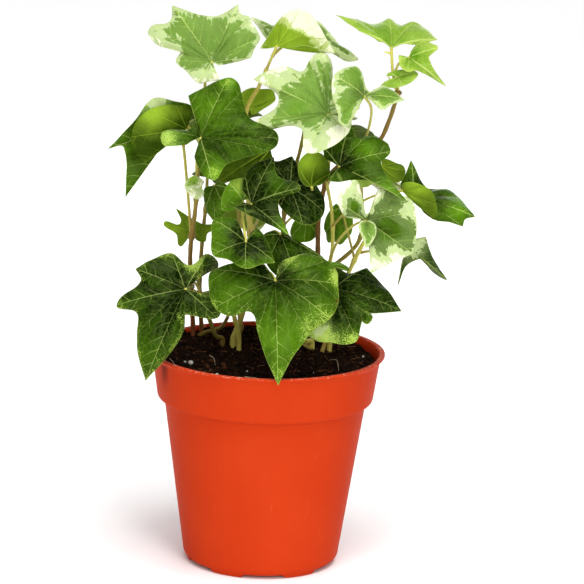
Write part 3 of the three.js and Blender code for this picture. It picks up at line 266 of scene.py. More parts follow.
leaf("right_twin", (39.2, 210.6, -24), [(38.5, 186.5, 3), (41.6, 197, -6), (42.2, 206, -18)],
    tips=[(47.2, 204.8, -29), (56.8, 209.6, -23), (47.4, 215.8, -18), (36.4, 222.8, -17), (25.4, 219, -24),
    (28, 202.6, -30), (32, 197.2, -31)], dips=[(50.4, 206.8), (52.2, 213.2), (41, 212.6), (31, 223),
    (25.2, 211.4), (28.4, 199.2)], notch=[(43, 208), (35.2, 203.4)], middle=3, teeth=(5,), sharp=(1, 2),
    tone=0.43, cream=0.06, rim=(0.4, 1.3), lime_rim=(0.5, 1.6), spots=[(27, 214, 4.5, 0.3),
    (38, 212, 5, 0, 0, -0.2), (48, 210, 5, 0, 0.2)])
leaf("right_centre", (23.6, 202.2, -15), [(24.5, 173, 10), (25, 188, 0), (24.5, 198, -10)],
    tips=[(37.4, 205.6, -12), (24.8, 223.6, -7), (19.6, 228.8, -6), (14.7, 225.4, -8), (4.2, 222.4, -10),
    (-9.2, 216.8, -15), (-8.8, 197.6, -18), (-3.4, 194.4, -20), (14.6, 184.8, -26), (32.8, 194, -24)],
    dips=[(25.6, 218), (22.8, 227.6), (16.6, 228), (11.8, 220.8), (-3.6, 220.2), (2, 207.8), (-7, 194.8),
    (11.4, 195.8), (25, 187.4)], notch=[(34, 202.4), (33.4, 200.2)], middle=2, teeth=(1, 3, 4, 7),
    sharp=(0, 5, 6), tone=0.45, cream=0.18, rim=(0.2, 2.2), spots=[(15, 187, 6, 0.45),
    (28, 193.5, 7.5, 0.55), (-6, 214.5, 5, 0.3), (3, 219.5, 6, 0.34), (-7, 198, 5, 0.3), (20, 226, 4, 0.16),
    (12, 206, 9, -0.11, 0, 0.04), (6, 201, 6, -0.05)])
leaf("right_dark", (29.5, 179, -20), [(24, 171, 11), (27, 175, -4)], tips=[(25.4, 172.4, -24),
    (59.4, 164.6, -36), (51.4, 186.8, -22), (41.3, 193.4, -16), (33.6, 199.6, -13), (21.3, 189, -14)],
    dips=[(42.6, 173.4), (47.6, 180.6), (48.6, 191), (36.6, 192), (28.4, 191.4)], notch=[(25.4, 176),
    (23.4, 182)], middle=1, sharp=(1, 4, 5), tone=0.1, lime=0.03, spots=[(40, 188, 5, 0, 0, 0.26),
    (52, 170, 6, 0, 0, 0.24), (30, 182, 6, 0, 0, -0.1)])
leaf("right_small", (38.8, 176, -8), [(30, 180.4, 6.2), (34, 179, -2)], tips=[(34.2, 174.2, -9),
    (39.4, 170.2, -10), (44.8, 173, -9)], dips=[(36.4, 171.6), (42.6, 170.8)], sharp=(2,), tone=0.85,
    lime=0.25)
leaf("right_olive", (47.6, 180.4, 9), [(36, 184.4, 4), (42, 183, 8)], tips=[(54.6, 181.4, 13),
    (58.4, 178.2, 11), (56.2, 173.4, 9), (48, 173.6, 8)], dips=[(57, 180.6), (57.8, 175.4), (52.4, 172.8)],
    sharp=(1,), tone=0.35)

vine("vine_right_front", root=(20, 16), radii=(1.35, 0.7), bark=(0, 0, 0.1, 0.95), stem=[(16.5, 100, 12),
    (15.5, 106, 9), (20, 118, 6), (25, 130, 4), (27.4, 141, 4), (26.8, 158, 2), (24, 172, -4)],
    extras=[([(14.5, 103.4, 20), (15.4, 100, 18), (17.4, 98, 16), (20, 96.6, 15)], (1.0, 0.9),
    (0.2, 0.2, 0.7)), ([(24.6, 95.5, 12), (25.6, 99, 13), (26.2, 101, 14)], (1.1, 0.8), (0.2, 0.4, 0.8))])
leaf("right_cream", (42, 155.6, -31), [(25, 131, 4), (30, 146, -12), (37, 153.4, -24)],
    tips=[(45, 131.8, -38), (63, 141.2, -36), (63.4, 160.4, -31), (55.4, 167.8, -29), (46.8, 169.8, -29),
    (37.6, 173, -33), (29.2, 163.6, -36)], dips=[(54.4, 137.2), (64.2, 151), (61.4, 165.2), (50.8, 170.4),
    (41.4, 158.6), (31.6, 170.2)], notch=[(44.6, 145.4), (33.6, 156.4)], middle=2, teeth=(3,), sharp=(0, 1),
    tone=0.19, cream=0.12, rim=(0.24, 1.6), spots=[(33, 170, 5, 0.45), (30.5, 161, 4, 0.45),
    (40, 168, 4, 0.45), (36.5, 162, 3.2, -0.35, 0, 0.1), (60, 160, 5, 0.3), (47.5, 136, 4, 0.4),
    (56, 140, 5, 0.4), (46, 168, 4, 0.4), (53, 152, 7, -0.16)])
leaf("right_cream_curl", (41.7, 155.1, -30.7), [], tips=[(38.6, 152.4, -37), (42.2, 143, -40),
    (46.6, 151.6, -37)], dips=[(40.4, 147.6), (45.6, 146.8)], notch=[(39.6, 154.8), (45.2, 154.4)], arch=0.2,
    tone=0.45, lime=0.2, cream=0.16, rim=(0.4, 1.0))
# The tone spot is a painted highlight across the flap's lit part.
leaf("right_flap_under", (57.5, 169.4, -8), [(26.9, 152, 3), (34, 160, -4), (46, 167, -6)],
    tips=[(57.6, 172.8, -11), (66.4, 172, -13), (72.6, 163.6, -14), (71.9, 157, -15)], dips=[(61.6, 173.3),
    (70.6, 169), (73, 160.2)], notch=[(56.8, 171.2), (65.4, 162)], arch=-0.05, puff=-0.05, sharp=(3,),
    tone=0.14, spots=[(62, 171, 7, 0, 0, 0.75)])
leaf("right_far", (62, 166, -2), [(46, 167, -6), (55, 166.5, -4)], tips=[(73, 156.6, -6), (84.4, 154, -6),
    (89.6, 158.6, -4), (82.4, 167, 3), (72.8, 170.6, 5), (60.6, 183.4, 2), (56.2, 171.8, -2)],
    dips=[(79, 155.8), (85.4, 157.4), (86.4, 162.6), (78, 170.2), (67.4, 171.4), (58.2, 176.6)],
    notch=[(66.6, 160), (57.6, 168.6)], middle=2, teeth=(0, 1, 3), sharp=(1, 2, 5), tone=0.06, lime=0.02,
    spots=[(82, 162, 6, 0, 0.05, 0.36), (60, 180, 5, 0, 0, 0.16)])

vine("vine_front", root=(-12.4, 8), radii=(1.2, 0.8), bark=(0.15, 0.3, 0.2, 1.0), stem=[(-13, 104, 7),
    (-14.8, 111, 4), (-13, 122, -4), (-9, 134, -8), (-7, 146, -6), (-10.8, 159, -8)])
leaf("front_big", (3, 127, -34), [(-12.4, 125, -5), (-6, 131, -15), (0.5, 130.5, -27)],
    tips=[(-24.6, 131, -30), (-23.4, 113.8, -41), (-15.2, 110.4, -43), (-4.2, 103.6, -47), (5.6, 79.6, -56),
    (18.4, 102.6, -48), (27.6, 110.4, -44), (30.6, 126.4, -33), (25.6, 136.6, -27), (13.6, 139.4, -25)],
    dips=[(-26.2, 121.6), (-19.6, 110.8), (-7.2, 112.4), (-0.6, 92.6), (11.8, 92.4), (22.6, 107),
    (31, 117.6), (29.8, 132.6), (19.4, 139.2)], notch=[(-2, 134.2), (4.2, 134.6)], middle=4,
    teeth=(2, 3, 5, 8), sharp=(4,), tone=0.1, lime=0.05, lime_rim=(0.28, 2.4),
    spots=[(10, 137, 4.5, 0, 0.35, 0.15), (30, 130, 4, 0, 0.5, 0.2), (17, 108, 5, 0, 0.35, 0.1),
    (4, 100, 11, 0, 0, 0.18), (5.6, 84, 4, 0, 0.15, 0.2), (24, 113, 5, 0, 0.3, 0.1),
    (-16, 122, 8, 0, 0, 0.12), (1, 132, 7, 0, 0, -0.12), (18, 128, 7, 0, 0.12),
    (30.2, 118.5, 0.9, 0, 0, 0, 1)])
leaf("front_big_curl", (25.4, 134.8, -27.7), [], tips=[(29.8, 133.4, -25), (35.3, 132.2, -22),
    (33.6, 135.2, -22), (28.4, 136.4, -24)], dips=[(32.4, 132.9), (35.2, 133.8), (31.2, 136.2)], middle=1,
    sharp=(1,), tone=0.3, lime=0.2)
# The first spot, at the base, is painted shade in the leaf's cupped middle; it also takes away some lime.
leaf("front_bright", (-10.5, 144, -33), [(-10.8, 159, -8), (-12.4, 157.5, -20), (-11.3, 149, -30)],
    tips=[(-14.6, 153.4, -28), (-25.2, 153.4, -29), (-24.8, 137.4, -37), (-10.5, 132.4, -45),
    (2.6, 134.9, -42), (-5.4, 150.2, -28)], dips=[(-20, 155), (-25.7, 146), (-18, 135.6), (-3.4, 134.2),
    (-0.6, 143.4)], notch=[(-12, 147.6), (-8.6, 148)], middle=3, teeth=(0,), sharp=(4,), tone=0.1, lime=0.04,
    lime_rim=(0.1, 2.5), spots=[(-10, 144, 8, 0, -0.2, -0.24), (-21, 139, 6, 0, 0.1, 0.12),
    (-24, 148, 5, 0, 0.1, 0.12), (-6.5, 149, 3.5, 0, 0, 0.2), (-10, 133.5, 4, 0, 0.15, 0.12)])
leaf("front_behind", (4.6, 148, -13), [(-8, 140, -7.4), (-3, 146, -8), (2, 149.4, -11)],
    tips=[(-3.2, 147, -14), (-1, 134, -20), (14, 124, -24), (24.6, 137, -19), (8.6, 147.8, -13)], dips=[0.5,
    (5, 128), (20, 130), (12.3, 143.4)], middle=2, tone=0.08, lime=0.05)

vine("vine_front_left", root=(-20, 12), radii=(1.2, 0.75), bark=(0.7, 0.3, 0.3, 0.3), stem=[(-22.4, 101, 9),
    (-25, 107, 4), (-29, 117, -6), (-31.5, 128, -9)])
leaf("front_left", (-36.6, 121.8, -26), [(-29.6, 119, -7), (-32, 124.5, -13), (-35.4, 124, -21)],
    tips=[(-27.4, 138, -17), (-43.1, 138, -19), (-58.8, 130.2, -24), (-66.8, 113.6, -30), (-57.6, 101, -35),
    (-53.2, 79.4, -42), (-36.6, 103.6, -36), (-22.4, 109.2, -32)], dips=[(-35, 132.8), (-52, 134.6),
    (-56.4, 125), (-58, 110.6), (-57, 92), (-44, 90.6), (-38.8, 109.8)], notch=[(-22.6, 132), (-21.6, 117)],
    middle=5, teeth=(4, 6), sharp=(2, 5), tone=0.0, lime=0.06, lime_rim=(0.3, 2.2),
    spots=[(-33, 133, 4.5, 0, 0.4, 0.2), (-54, 92, 9, 0, 0.02, 0.12), (-42, 96, 6, 0, 0.06, 0.06),
    (-30, 108, 5, 0, 0.1, 0.04), (-60, 113, 6, 0, 0, 0.08)])
leaf("low_left", (-37, 120, 2), [(-28, 114, -3.5), (-32, 119, -1)], fan=((-0.7, 0.1, -0.5),
    (-0.4, -0.2, 0.9), 13), tone=0.4, lime=0.2)

vine("vine_front_right", root=(28, 14), radii=(1.3, 0.8), bark=(0.05, 0, 0.2, 0.95), stem=[(28.6, 103, 10),
    (29.5, 110, 4), (32, 122, 0), (36, 134, -2), (42, 147, -6), (50, 160, 2)])
leaf("front_right", (28.8, 124, -24), [(31, 118, 1), (30, 123, -10), (29, 125, -18)],
    tips=[(16.6, 104.6, -36), (29, 100, -40), (39.6, 101.4, -42), (43, 113.4, -38), (59.2, 114.6, -34),
    (43, 134.4, -19), (27, 134.5, -15)], dips=[(21.6, 101), (35, 99.4), (41.4, 107.6), (48.8, 113.4),
    (52.6, 124.4), (35, 131.8)], notch=[(19, 112), (22, 128)], middle=3, teeth=(1, 3), sharp=(4, 5),
    tone=-0.03, lime=0.03, spots=[(21, 106, 6, 0.25, 0.6, 0.35), (38, 101.5, 5, 0, 0.5, 0.2),
    (28, 101, 6, 0.05, 0.5, 0.25), (40, 122, 8, 0, 0, 0.06)])
leaf("front_right_flap", (41.6, 114.4, -36.9), [], tips=[(41.4, 111.2, -40), (43.8, 108.5, -41),
    (46.4, 112.4, -40)], dips=[(42, 109.6), (45.8, 109.8)], notch=[(41.2, 113.4), (44.4, 114.3)], tone=0.06,
    lime_rim=(0.4, 0.6))
leaf("back_right_round", (31, 161, 20), [(37.6, 137.6, -3), (34, 150, 9), (32, 157, 15)],
    tips=[(25, 158, 22), (24.6, 149, 21), (28, 145.6, 19), (34, 147.5, 17), (36, 156, 16)], dips=[0.6, 0.58,
    0.58, 0.6], tone=0.5)
leaf("right_droop", (60, 143.5, -10), [(40, 141, -4.5), (48, 142.5, -7), (55, 143, -9)],
    tips=[(56.8, 126.4, -14), (67.6, 139, -16), (78.8, 129.6, -20), (68.4, 149, -6), (60, 147.6, -4)],
    dips=[(60.8, 136), (72, 133.4), (71.6, 140.4), (64, 148)], notch=[(58.4, 137.6), (58.4, 146)],
    teeth=(1,), sharp=(0, 2, 3), tone=0.05, cream=0.02, spots=[(62, 144, 5, 0.4, 0, 0.1),
    (67, 147, 2.5, 0.3, 0, 0.1)])

vine("vine_middle", root=(4, 19), radii=(1.2, 0.75), bark=(0.6, 0.4, 0.4, 0.35), stem=[(4.5, 104, 19),
    (5, 122, 18), (5.5, 140, 14), (6, 158, 8), (8.5, 172, 5), (12, 186, 7), (14, 198, 12)])
leaf("centre_dark", (8, 169, -14), [(6.4, 160, 7), (7, 165, -3), (7.6, 168.5, -9)], tips=[(4, 160.5, -22),
    (14.2, 152.6, -26), (23.4, 158.4, -20), (19.5, 170.6, -12), (8.6, 183.4, -8), (-1, 180.4, -9)],
    dips=[(8.4, 156), (19.6, 153.4), (23, 165), (12.6, 177), (3, 181)], notch=[(3, 164), (2, 172)], middle=1,
    sharp=(3, 4), tone=-0.06, lime=0.03)
# Its tone spots are painted light: a painted highlight at the upper left and painted shade at the right.
leaf("centre_round", (17.6, 169.6, -18), [(9.6, 177, 6), (17, 171.6, -6), (17.8, 167.6, -14)],
    tips=[(12.6, 172.6, -19), (11.8, 181, -18), (21.4, 184.6, -11), (25.2, 175.6, -12)], dips=[(11.2, 177),
    (16, 185.2), (24.8, 180.6)], notch=[(15.2, 169.8), (21.4, 170.6)], arch=0.2, tone=0.2,
    spots=[(14.5, 181, 5, 0, 0, 0.75), (22, 173, 5, 0, 0, -0.15)])
leaf("middle_olive", (16, 156, 24), [(5.8, 152, 10), (10, 156, 17)], tips=[(10.6, 154.5, 24), (9.4, 147, 23),
    (15, 144.8, 22), (20.6, 148.2, 23), (20.4, 155.5, 24)], dips=[0.6, 0.55, 0.55, 0.6], tone=0.35)
leaf("back_middle_top", (18, 206, 22), [(14, 198, 12), (16, 204, 17)], fan=((0.15, 0.85, -0.3),
    (0.05, 0.35, 0.95), 24), tone=0.5, cream=0.2, rim=(0.45, 3.0))
leaf("back_middle", (5, 170, 30), [(6, 158, 8), (5, 167, 20)], fan=((0.1, 0.9, -0.35), (0, 0.4, 0.9), 17),
    tone=0.15, lime=0.1)

vine("vine_back_right", root=(13.5, 35), radii=(1.2, 0.75), stem=[(14, 108, 35.5), (15, 118, 36),
    (19, 127, 36), (27.5, 134, 30), (39, 146, 24), (40, 160, 22), (38, 176, 22), (34, 188, 24)])
leaf("back_right_top", (33, 196, 28), [(34, 188, 24), (33.5, 193, 26)], fan=((0.3, 0.8, -0.35),
    (0.1, 0.45, 0.9), 22), tone=0.2, lime=0.12)
leaf("back_right_mid", (44, 178, 28), [(38.6, 172, 22), (42, 177, 24)], fan=((0.5, 0.75, -0.35),
    (0.3, 0.4, 0.9), 20), tone=0.5, cream=0.22, rim=(0.45, 3.0))
leaf("back_right_side", (52, 152, 20), [(39, 148, 23.6), (46, 152, 21)], fan=((0.5, 0.75, -0.4),
    (0.5, 0.35, 0.8), 19), tone=0.25, lime=0.1)
leaf("back_right_low", (37, 124, 36), [(16.5, 121, 36.4), (26, 123, 38), (33, 124.5, 37)],
    fan=((0.3, 0.85, -0.4), (0.2, 0.5, 0.85), 17), tone=0.15, lime=0.2)

vine("vine_back_left", root=(-12, 34), radii=(1.2, 0.75), stem=[(-12, 108, 34), (-13, 122, 34),
    (-14, 138, 32), (-14, 156, 30), (-16, 172, 32)])
leaf("back_left_mid", (-18, 180, 38), [(-16, 172, 32), (-17, 177, 35)], fan=((-0.25, 0.85, -0.4),
    (-0.1, 0.45, 0.9), 22), tone=0.18, lime=0.1)
leaf("back_left_inner", (-10, 160, 44), [(-14, 146, 31), (-12, 156, 38)], fan=((0.1, 0.85, -0.45),
    (0, 0.5, 0.85), 22), tone=0.45, cream=0.1, rim=(0.35, 2.0))
leaf("back_low", (-2, 124, 44), [(-12.4, 114, 34), (-8, 122, 39)], fan=((0.05, 0.85, -0.5), (0, 0.55, 0.8),
    24), tone=0.14, lime=0.15)
leaf("back_left_side", (-24, 120, 50), [(-12.8, 119, 34), (-18, 120, 43)], fan=((-0.25, 0.8, -0.5),
    (-0.1, 0.55, 0.8), 15), tone=0.35, cream=0.1, rim=(0.3, 2.4))


# ---------------------------------------------------------------- places and curves
def unit(vector):
    return vector / np.linalg.norm(vector)


def place(spot):
    """The true place of a spot given as it looks from the front: [x, z] on the plane y=0, and y."""
    x, z, y = spot
    return EYE + (np.array([x, 0.0, z]) - EYE) * (1 - y / EYE[1])


def place_on_plane(spot, a, b, c):
    """The point seen at x, z on the plane through three known points."""
    normal = np.cross(b - a, c - a)
    sight = np.array([spot[0], 0.0, spot[1]]) - EYE
    return EYE + sight * (normal @ (a - EYE)) / (normal @ sight)


def seen_at(points):
    """Where the lines of sight through the points meet the plane y=0, as x and z."""
    share = EYE[1] / (EYE[1] - points[..., 1])
    return (EYE + (points - EYE) * share[..., None])[..., [0, 2]]


def around(radius, turn, height=()):
    return np.array([radius * math.cos(turn), radius * math.sin(turn), *height])


def circle(sides, radius, height, x=0, y=0):
    turns = np.arange(sides) / sides * FULL_TURN
    return np.stack([x + radius * np.cos(turns), y + radius * np.sin(turns), turns * 0 + height], 1)


def smooth_step(value, low, high):
    share = np.clip((value - low) / (high - low), 0, 1)
    return share * share * (3 - 2 * share)


def bell(away, width):
    """1 where away is 0, falling smoothly to 0 beyond the width."""
    return np.exp(-(away / width) ** 2)


def course_through(spots, spacing):
    """Points along a smooth curve through the spots, and how far along it each lies, from 0 to 1."""
    spots = [np.array(s, float) for s in spots]
    ends = [2 * spots[0] - spots[1]] + spots + [2 * spots[-1] - spots[-2]]
    points, shares = [], []
    for i in range(len(spots) - 1):
        x0, x1, x2, x3 = ends[i:i + 4]
        g0, g1, g2 = (max(np.linalg.norm(b - a), 1e-4) ** 0.5 for a, b in ((x0, x1), (x1, x2), (x2, x3)))
        start = ((x1 - x0) / g0 - (x2 - x0) / (g0 + g1) + (x2 - x1) / g1) * g1
        stop = ((x2 - x1) / g1 - (x3 - x1) / (g1 + g2) + (x3 - x2) / g2) * g1
        count = max(2, round(np.linalg.norm(x2 - x1) / spacing))
        for step in range(count + (i == len(spots) - 2)):
            t = step / count
            points.append(x1 + start * t + (3 * (x2 - x1) - 2 * start - stop) * t ** 2
                          + (2 * (x1 - x2) + start + stop) * t ** 3)
            shares.append((i + t) / (len(spots) - 1))
    return np.array(points), np.array(shares)


# ---------------------------------------------------------------- meshes
def add_object(name, content):
    thing = bpy.data.objects.new(name, content)
    bpy.context.scene.collection.objects.link(thing)
    return thing


class Skin:
    """Points, faces and what each face corner carries, gathered before they become one mesh."""

    CARRIED = {"rib": ("FLOAT_VECTOR", 3), "rim": ("FLOAT_VECTOR", 3), "tint": ("FLOAT_COLOR", 4)}

    def __init__(self):
        self.points, self.corners, self.sizes, self.slots = [], [], [], []
        self.carried = {name: [] for name in self.CARRIED}
        self.count = 0

    def add_points(self, points):
        start = self.count
        self.points.append(np.asarray(points, float).reshape(-1, 3))
        self.count += len(self.points[-1])
        return start

    def add_faces(self, faces, slot, **carried):
        """Faces as rows of corners. What is carried is one value, or one for each corner."""
        self.corners.append(faces.ravel())
        self.sizes.append(np.full(len(faces), faces.shape[1]))
        self.slots.append(np.full(len(faces), slot))
        for name, (_, width) in self.CARRIED.items():
            value = np.asarray(carried.get(name, (0,) * width), float)
            self.carried[name].append(np.broadcast_to(value, faces.shape + (width,)).reshape(-1, width))

    def add_rings(self, rings, ends, slot, tints=None, turn=0):
        """Rings of points joined by faces, and closed by a point at each end. tints holds one for each
        ring. turn picks the corner that the faces start from."""
        sides = len(rings[0])
        start = self.add_points(np.concatenate(rings))
        first = self.add_points(ends)
        last = start + (len(rings) - 1) * sides
        tints = np.zeros((len(rings), 4)) if tints is None else tints
        ring = np.arange(sides)
        following = (ring + 1) % sides
        for i in range(len(rings) - 1):
            low, high = start + i * sides, start + (i + 1) * sides
            faces = np.stack([low + ring, low + following, high + following, high + ring], 1)
            tint = tints[[i, i, i + 1, i + 1]]
            self.add_faces(np.roll(faces, turn, 1), slot, tint=np.roll(tint, turn, 0))
        foot = np.stack([ring * 0 + first, start + following, start + ring], 1)
        top = np.stack([ring * 0 + first + 1, last + ring, last + following], 1)
        self.add_faces(foot, slot, tint=tints[0])
        self.add_faces(top, slot, tint=tints[-1])

    def to_object(self, name, materials, sharp_angle):
        mesh = bpy.data.meshes.new(name)
        points = np.concatenate(self.points) * MM
        corners = np.concatenate(self.corners)
        sizes = np.concatenate(self.sizes)
        mesh.vertices.add(len(points))
        mesh.vertices.foreach_set("co", points.ravel())
        mesh.loops.add(len(corners))
        mesh.loops.foreach_set("vertex_index", corners)
        mesh.polygons.add(len(sizes))
        mesh.polygons.foreach_set("loop_start", np.cumsum(sizes) - sizes)
        mesh.polygons.foreach_set("material_index", np.concatenate(self.slots))
        for key, (kind, _) in self.CARRIED.items():
            values = np.concatenate(self.carried[key]).ravel()
            layer = mesh.attributes.new(key, kind, "CORNER")
            layer.data.foreach_set("color" if kind == "FLOAT_COLOR" else "vector", values)
        mesh.update(calc_edges=True)
        mesh.shade_smooth()
        mesh.set_sharp_from_angle(angle=math.radians(sharp_angle))
        for material in materials:
            mesh.materials.append(material)
        return add_object(name, mesh)


DOME_GIRTH, DOME_REACH, DOME_TIP = 0.75, 0.315, 0.2625


def add_tube(skin, path, radii, sides, slot, tints, squash=1.0):
    """A closed tube along a path, with a radius and a tint at each point, and domed ends."""
    across = np.array([1.0, 0.35, 0.1])
    turns = np.arange(sides) / sides * FULL_TURN
    headings = np.gradient(path, axis=0)
    headings = [headings[0], *headings, headings[-1]]
    first, last = unit(headings[0]), unit(headings[-1])
    cores = [path[0] - first * radii[0] * DOME_REACH, *path, path[-1] + last * radii[-1] * DOME_REACH]
    girths = [radii[0] * DOME_GIRTH, *radii, radii[-1] * DOME_GIRTH]
    rings = []
    for core, girth, heading in zip(cores, girths, headings):
        along = unit(heading)
        across = unit(across - along * (across @ along))
        up = np.cross(along, across)
        rings.append(core + girth * (np.outer(np.cos(turns), across) + squash * np.outer(np.sin(turns), up)))
    ends = [cores[0] - first * radii[0] * DOME_TIP, cores[-1] + last * radii[-1] * DOME_TIP]
    skin.add_rings(rings, ends, slot, np.array([tints[0], *tints, tints[-1]]))


# ---------------------------------------------------------------- leaf blades
# A lobe's edge in a fan is a cubic curve from its tip to the hollow beside it, in shares of the two rays.
# Any other blade's edge runs on through the end of each ray, and turns only at its sharp tips.
TIP_SIDE = ((1, 0), (0.76, 0.24 + LOBE_FULLNESS), (0.24, 0.8), (0, 1))
NOTCH_SIDE = ((1, 0), (0.88, 0.5), (0.45, 1.02), (0, 1))
# Each lobe of a fan: its turn from the heading, and its length and its droop in shares of the leaf's size.
FAN = ((-116, 0.6, 0.1), (-58, 0.86, 0.16), (0, 1, 0.22), (58, 0.86, 0.16), (116, 0.6, 0.1))
TINTS = ("cream", "lime", "tone", "burnt")
FAR_FROM_VEINS = (5, 3, 0.5)


def cubic(control, t):
    control = np.array(control, float)
    t = t[:, None]
    return ((1 - t) ** 3 * control[0] + 3 * (1 - t) ** 2 * t * control[1]
            + 3 * (1 - t) * t ** 2 * control[2] + t ** 3 * control[3])


def fan_tips(base, heading, facing, size):
    up = unit(np.array(facing, float))
    ahead = np.array(heading, float)
    ahead = unit(ahead - up * (ahead @ up))
    right = np.cross(ahead, up)
    turns = [math.radians(turn) for turn, _, _ in FAN]
    return [base + size * (ahead * math.cos(turn) * length - right * math.sin(turn) * length - up * droop)
            for turn, (_, length, droop) in zip(turns, FAN)]


def blade_rays(form):
    """The blade's base, its normal and its rays: (vector, kind, rise) from one side of the notch round."""
    base = place(form["base"])
    tips = fan_tips(base, *form["fan"]) if "fan" in form else [place(tip) for tip in form["tips"]]
    lobes = [tip - base for tip in tips]
    normal = unit(sum(np.cross(a, b) for a, b in zip(lobes, lobes[1:])))
    middle = unit(lobes[form.get("middle", len(lobes) // 2)])
    arch, puff = form.get("arch", BLADE_ARCH), form.get("puff", BLADE_PUFF)

    def notch_ray(side):
        lobe = lobes[-side]
        if "notch" in form:
            return place_on_plane(form["notch"][side], base, base + lobe, base + middle) - base
        return unit(unit(lobe) - NOTCH_SPLAY * middle) * NOTCH_LENGTH * np.linalg.norm(lobe)

    def dip_ray(k):
        dip = form["dips"][k] if "dips" in form else DIP_SHARE
        if isinstance(dip, tuple):
            return place_on_plane(dip, base, tips[k], tips[k + 1]) - base
        return (lobes[k] + lobes[k + 1]) * dip

    rays = [(notch_ray(0), "notch")]
    for k, lobe in enumerate(lobes):
        rays += [(lobe, "tip"), (dip_ray(k), "dip")] if k + 1 < len(lobes) else [(lobe, "tip")]
    rays.append((notch_ray(1), "notch"))
    return base, normal, [(ray, kind, np.linalg.norm(ray) * (arch if kind == "tip" else arch + puff))
                          for ray, kind in rays]


def edge_curve(form, rays, side):
    """The cubic curve of the edge between two rays, in shares of those two rays."""
    (start, start_kind, _), (stop, stop_kind, _) = rays[side:side + 2]
    if "fan" in form:
        curve = NOTCH_SIDE if "notch" in (start_kind, stop_kind) else TIP_SIDE
        return curve if start_kind == "tip" else [(b, a) for a, b in reversed(curve)]
    before = rays[side - 1][0] if side > 0 else 0 * start
    after = rays[side + 2][0] if side + 2 < len(rays) else 0 * stop
    span = stop - start
    third = np.linalg.norm(span) / 3
    sharp = [2 * k + 1 for k in form.get("sharp", ())]
    leaving = start + third * unit(span if side in sharp else stop - before)
    reaching = stop - third * unit(span if side + 1 in sharp else after - start)
    basis = np.stack([start, stop], 1)
    shares = [np.linalg.lstsq(basis, point, rcond=None)[0] for point in (leaving, reaching)]
    return [(1, 0), *shares, (0, 1)]


def blade_sectors(form, base, normal, rays, edge_steps, reaches):
    """For each pair of neighbouring rays, grids of the blade's middle face and of where each point lies
    beside its lobe's main vein: how far along it, how far from it, and how near the hollow."""
    sectors = []
    for side, (start, stop) in enumerate(zip(rays, rays[1:])):
        from_tip = start[1] == "tip"
        tip, other = (start, stop) if from_tip else (stop, start)
        shares = cubic(edge_curve(form, rays, side), np.linspace(0, 1, edge_steps + 1)).T
        along, beside = shares if from_tip else shares[::-1]
        share = np.sin(beside / (along + beside) * math.pi / 2)
        rise = tip[2] + (other[2] - tip[2]) * share
        grid = (along[:, None, None] * tip[0] + beside[:, None, None] * other[0]) * reaches[:, None]
        lift = (rise[:, None] * 4 * reaches * (1 - reaches))[..., None] * normal
        vein = unit(tip[0])
        on_vein = grid @ vein
        off_vein = np.linalg.norm(grid - on_vein[..., None] * vein, axis=-1)
        sectors.append(dict(
            flat=grid, points=base + grid + lift, on_vein=on_vein, off_vein=off_vein,
            length=np.full(on_vein.shape, np.linalg.norm(tip[0])),
            hollow=np.broadcast_to(share[:, None], on_vein.shape),
            lobe=np.full(on_vein.shape, (side // 2) + (0.5 if from_tip else 0.0)),
            vein=np.full(on_vein.shape, TOOTH_VEIN if side // 2 in form.get("teeth", ()) else 1.0)))
    return sectors


def blade_tints(form, edge, seen):
    """A leaf's cream, lime, brightness and scorching at each point: its own, its margin's, its spots'. Spots
    also paint highlights and shade.
    """
    tints = np.zeros((*edge.shape, len(TINTS))) + [form.get(key, 0) for key in TINTS]
    for k, key in enumerate(("rim", "lime_rim")):
        strength, width = form.get(key, (0, 1))
        tints[..., k] += strength * bell(edge, width)
    for x, z, radius, *amounts in form.get("spots", ()):
        nearness = np.exp(-((seen - (x, z)) ** 2).sum(-1) / radius ** 2)
        tints[..., :len(amounts)] += nearness[..., None] * amounts
    return tints


def side_vein_count(place_on_blade, size):
    """Which side vein a point lies by: a whole number on a vein, and between two of them a share."""
    off_vein = place_on_blade["off_vein"]
    forward = place_on_blade["on_vein"] - SIDE_VEIN_SLANT * off_vein - SIDE_VEIN_CURVE * off_vein ** 2
    step = SIDE_VEIN_STEP + size * SIDE_VEIN_STEP_BY_SIZE
    return np.maximum(forward / step, 0.5) + place_on_blade["lobe"]


def grid_normals(points, toward):
    """Unit normals of a grid of points, on the side of the given direction."""
    normals = np.cross(np.gradient(points, axis=1), np.gradient(points, axis=0))
    normals[:, 0] = toward
    length = np.linalg.norm(normals, axis=-1, keepdims=True)
    normals = np.where(length > 1e-9, normals / np.maximum(length, 1e-9), toward)
    return normals * np.where((normals @ toward) < 0, -1, 1)[..., None]


def small_forms(form, grid, edge, plane, reaches, size, rng):
    """Heights along the normal: a groove at each main vein, quilting between side veins, a waved edge."""
    groove = -GROOVE_DEPTH * bell(grid["off_vein"], GROOVE_WIDTH) * grid["vein"]
    groove *= min(1, size / FULL_GROOVE_SIZE)
    groove *= 1 - 0.6 * grid["on_vein"] / grid["length"]
    quilt = -np.cos(FULL_TURN * side_vein_count(grid, size)) * QUILT_HEIGHT
    quilt *= smooth_step(grid["off_vein"], 0.4, 2.5) * (1 - grid["hollow"] ** 3)
    quilt *= smooth_step(edge, 0, 2.5) * min(1, size / FULL_QUILT_SIZE)
    waviness = min(1, size / FULL_WAVE_SIZE) * form.get("wave", 1)
    outward = np.concatenate([[0], np.cumsum(np.linalg.norm(np.diff(plane[:, -1], axis=0), axis=1))])
    wave = sum(rng.uniform(0.5, 1) * np.sin(outward * FULL_TURN / rng.uniform(*band) + rng.uniform(0, 6.3))
               for band in WAVE_LENGTHS)
    swell = sum(np.sin(plane[..., 0] * rng.uniform(*SWELL_RATE) + plane[..., 1] * rng.uniform(*SWELL_RATE)
                       + rng.uniform(0, 6.3)) for _ in range(3))
    waves = np.outer(wave, reaches ** 4) * WAVE_HEIGHT + swell * SWELL_HEIGHT * reaches ** 2
    return groove + quilt + waves * waviness


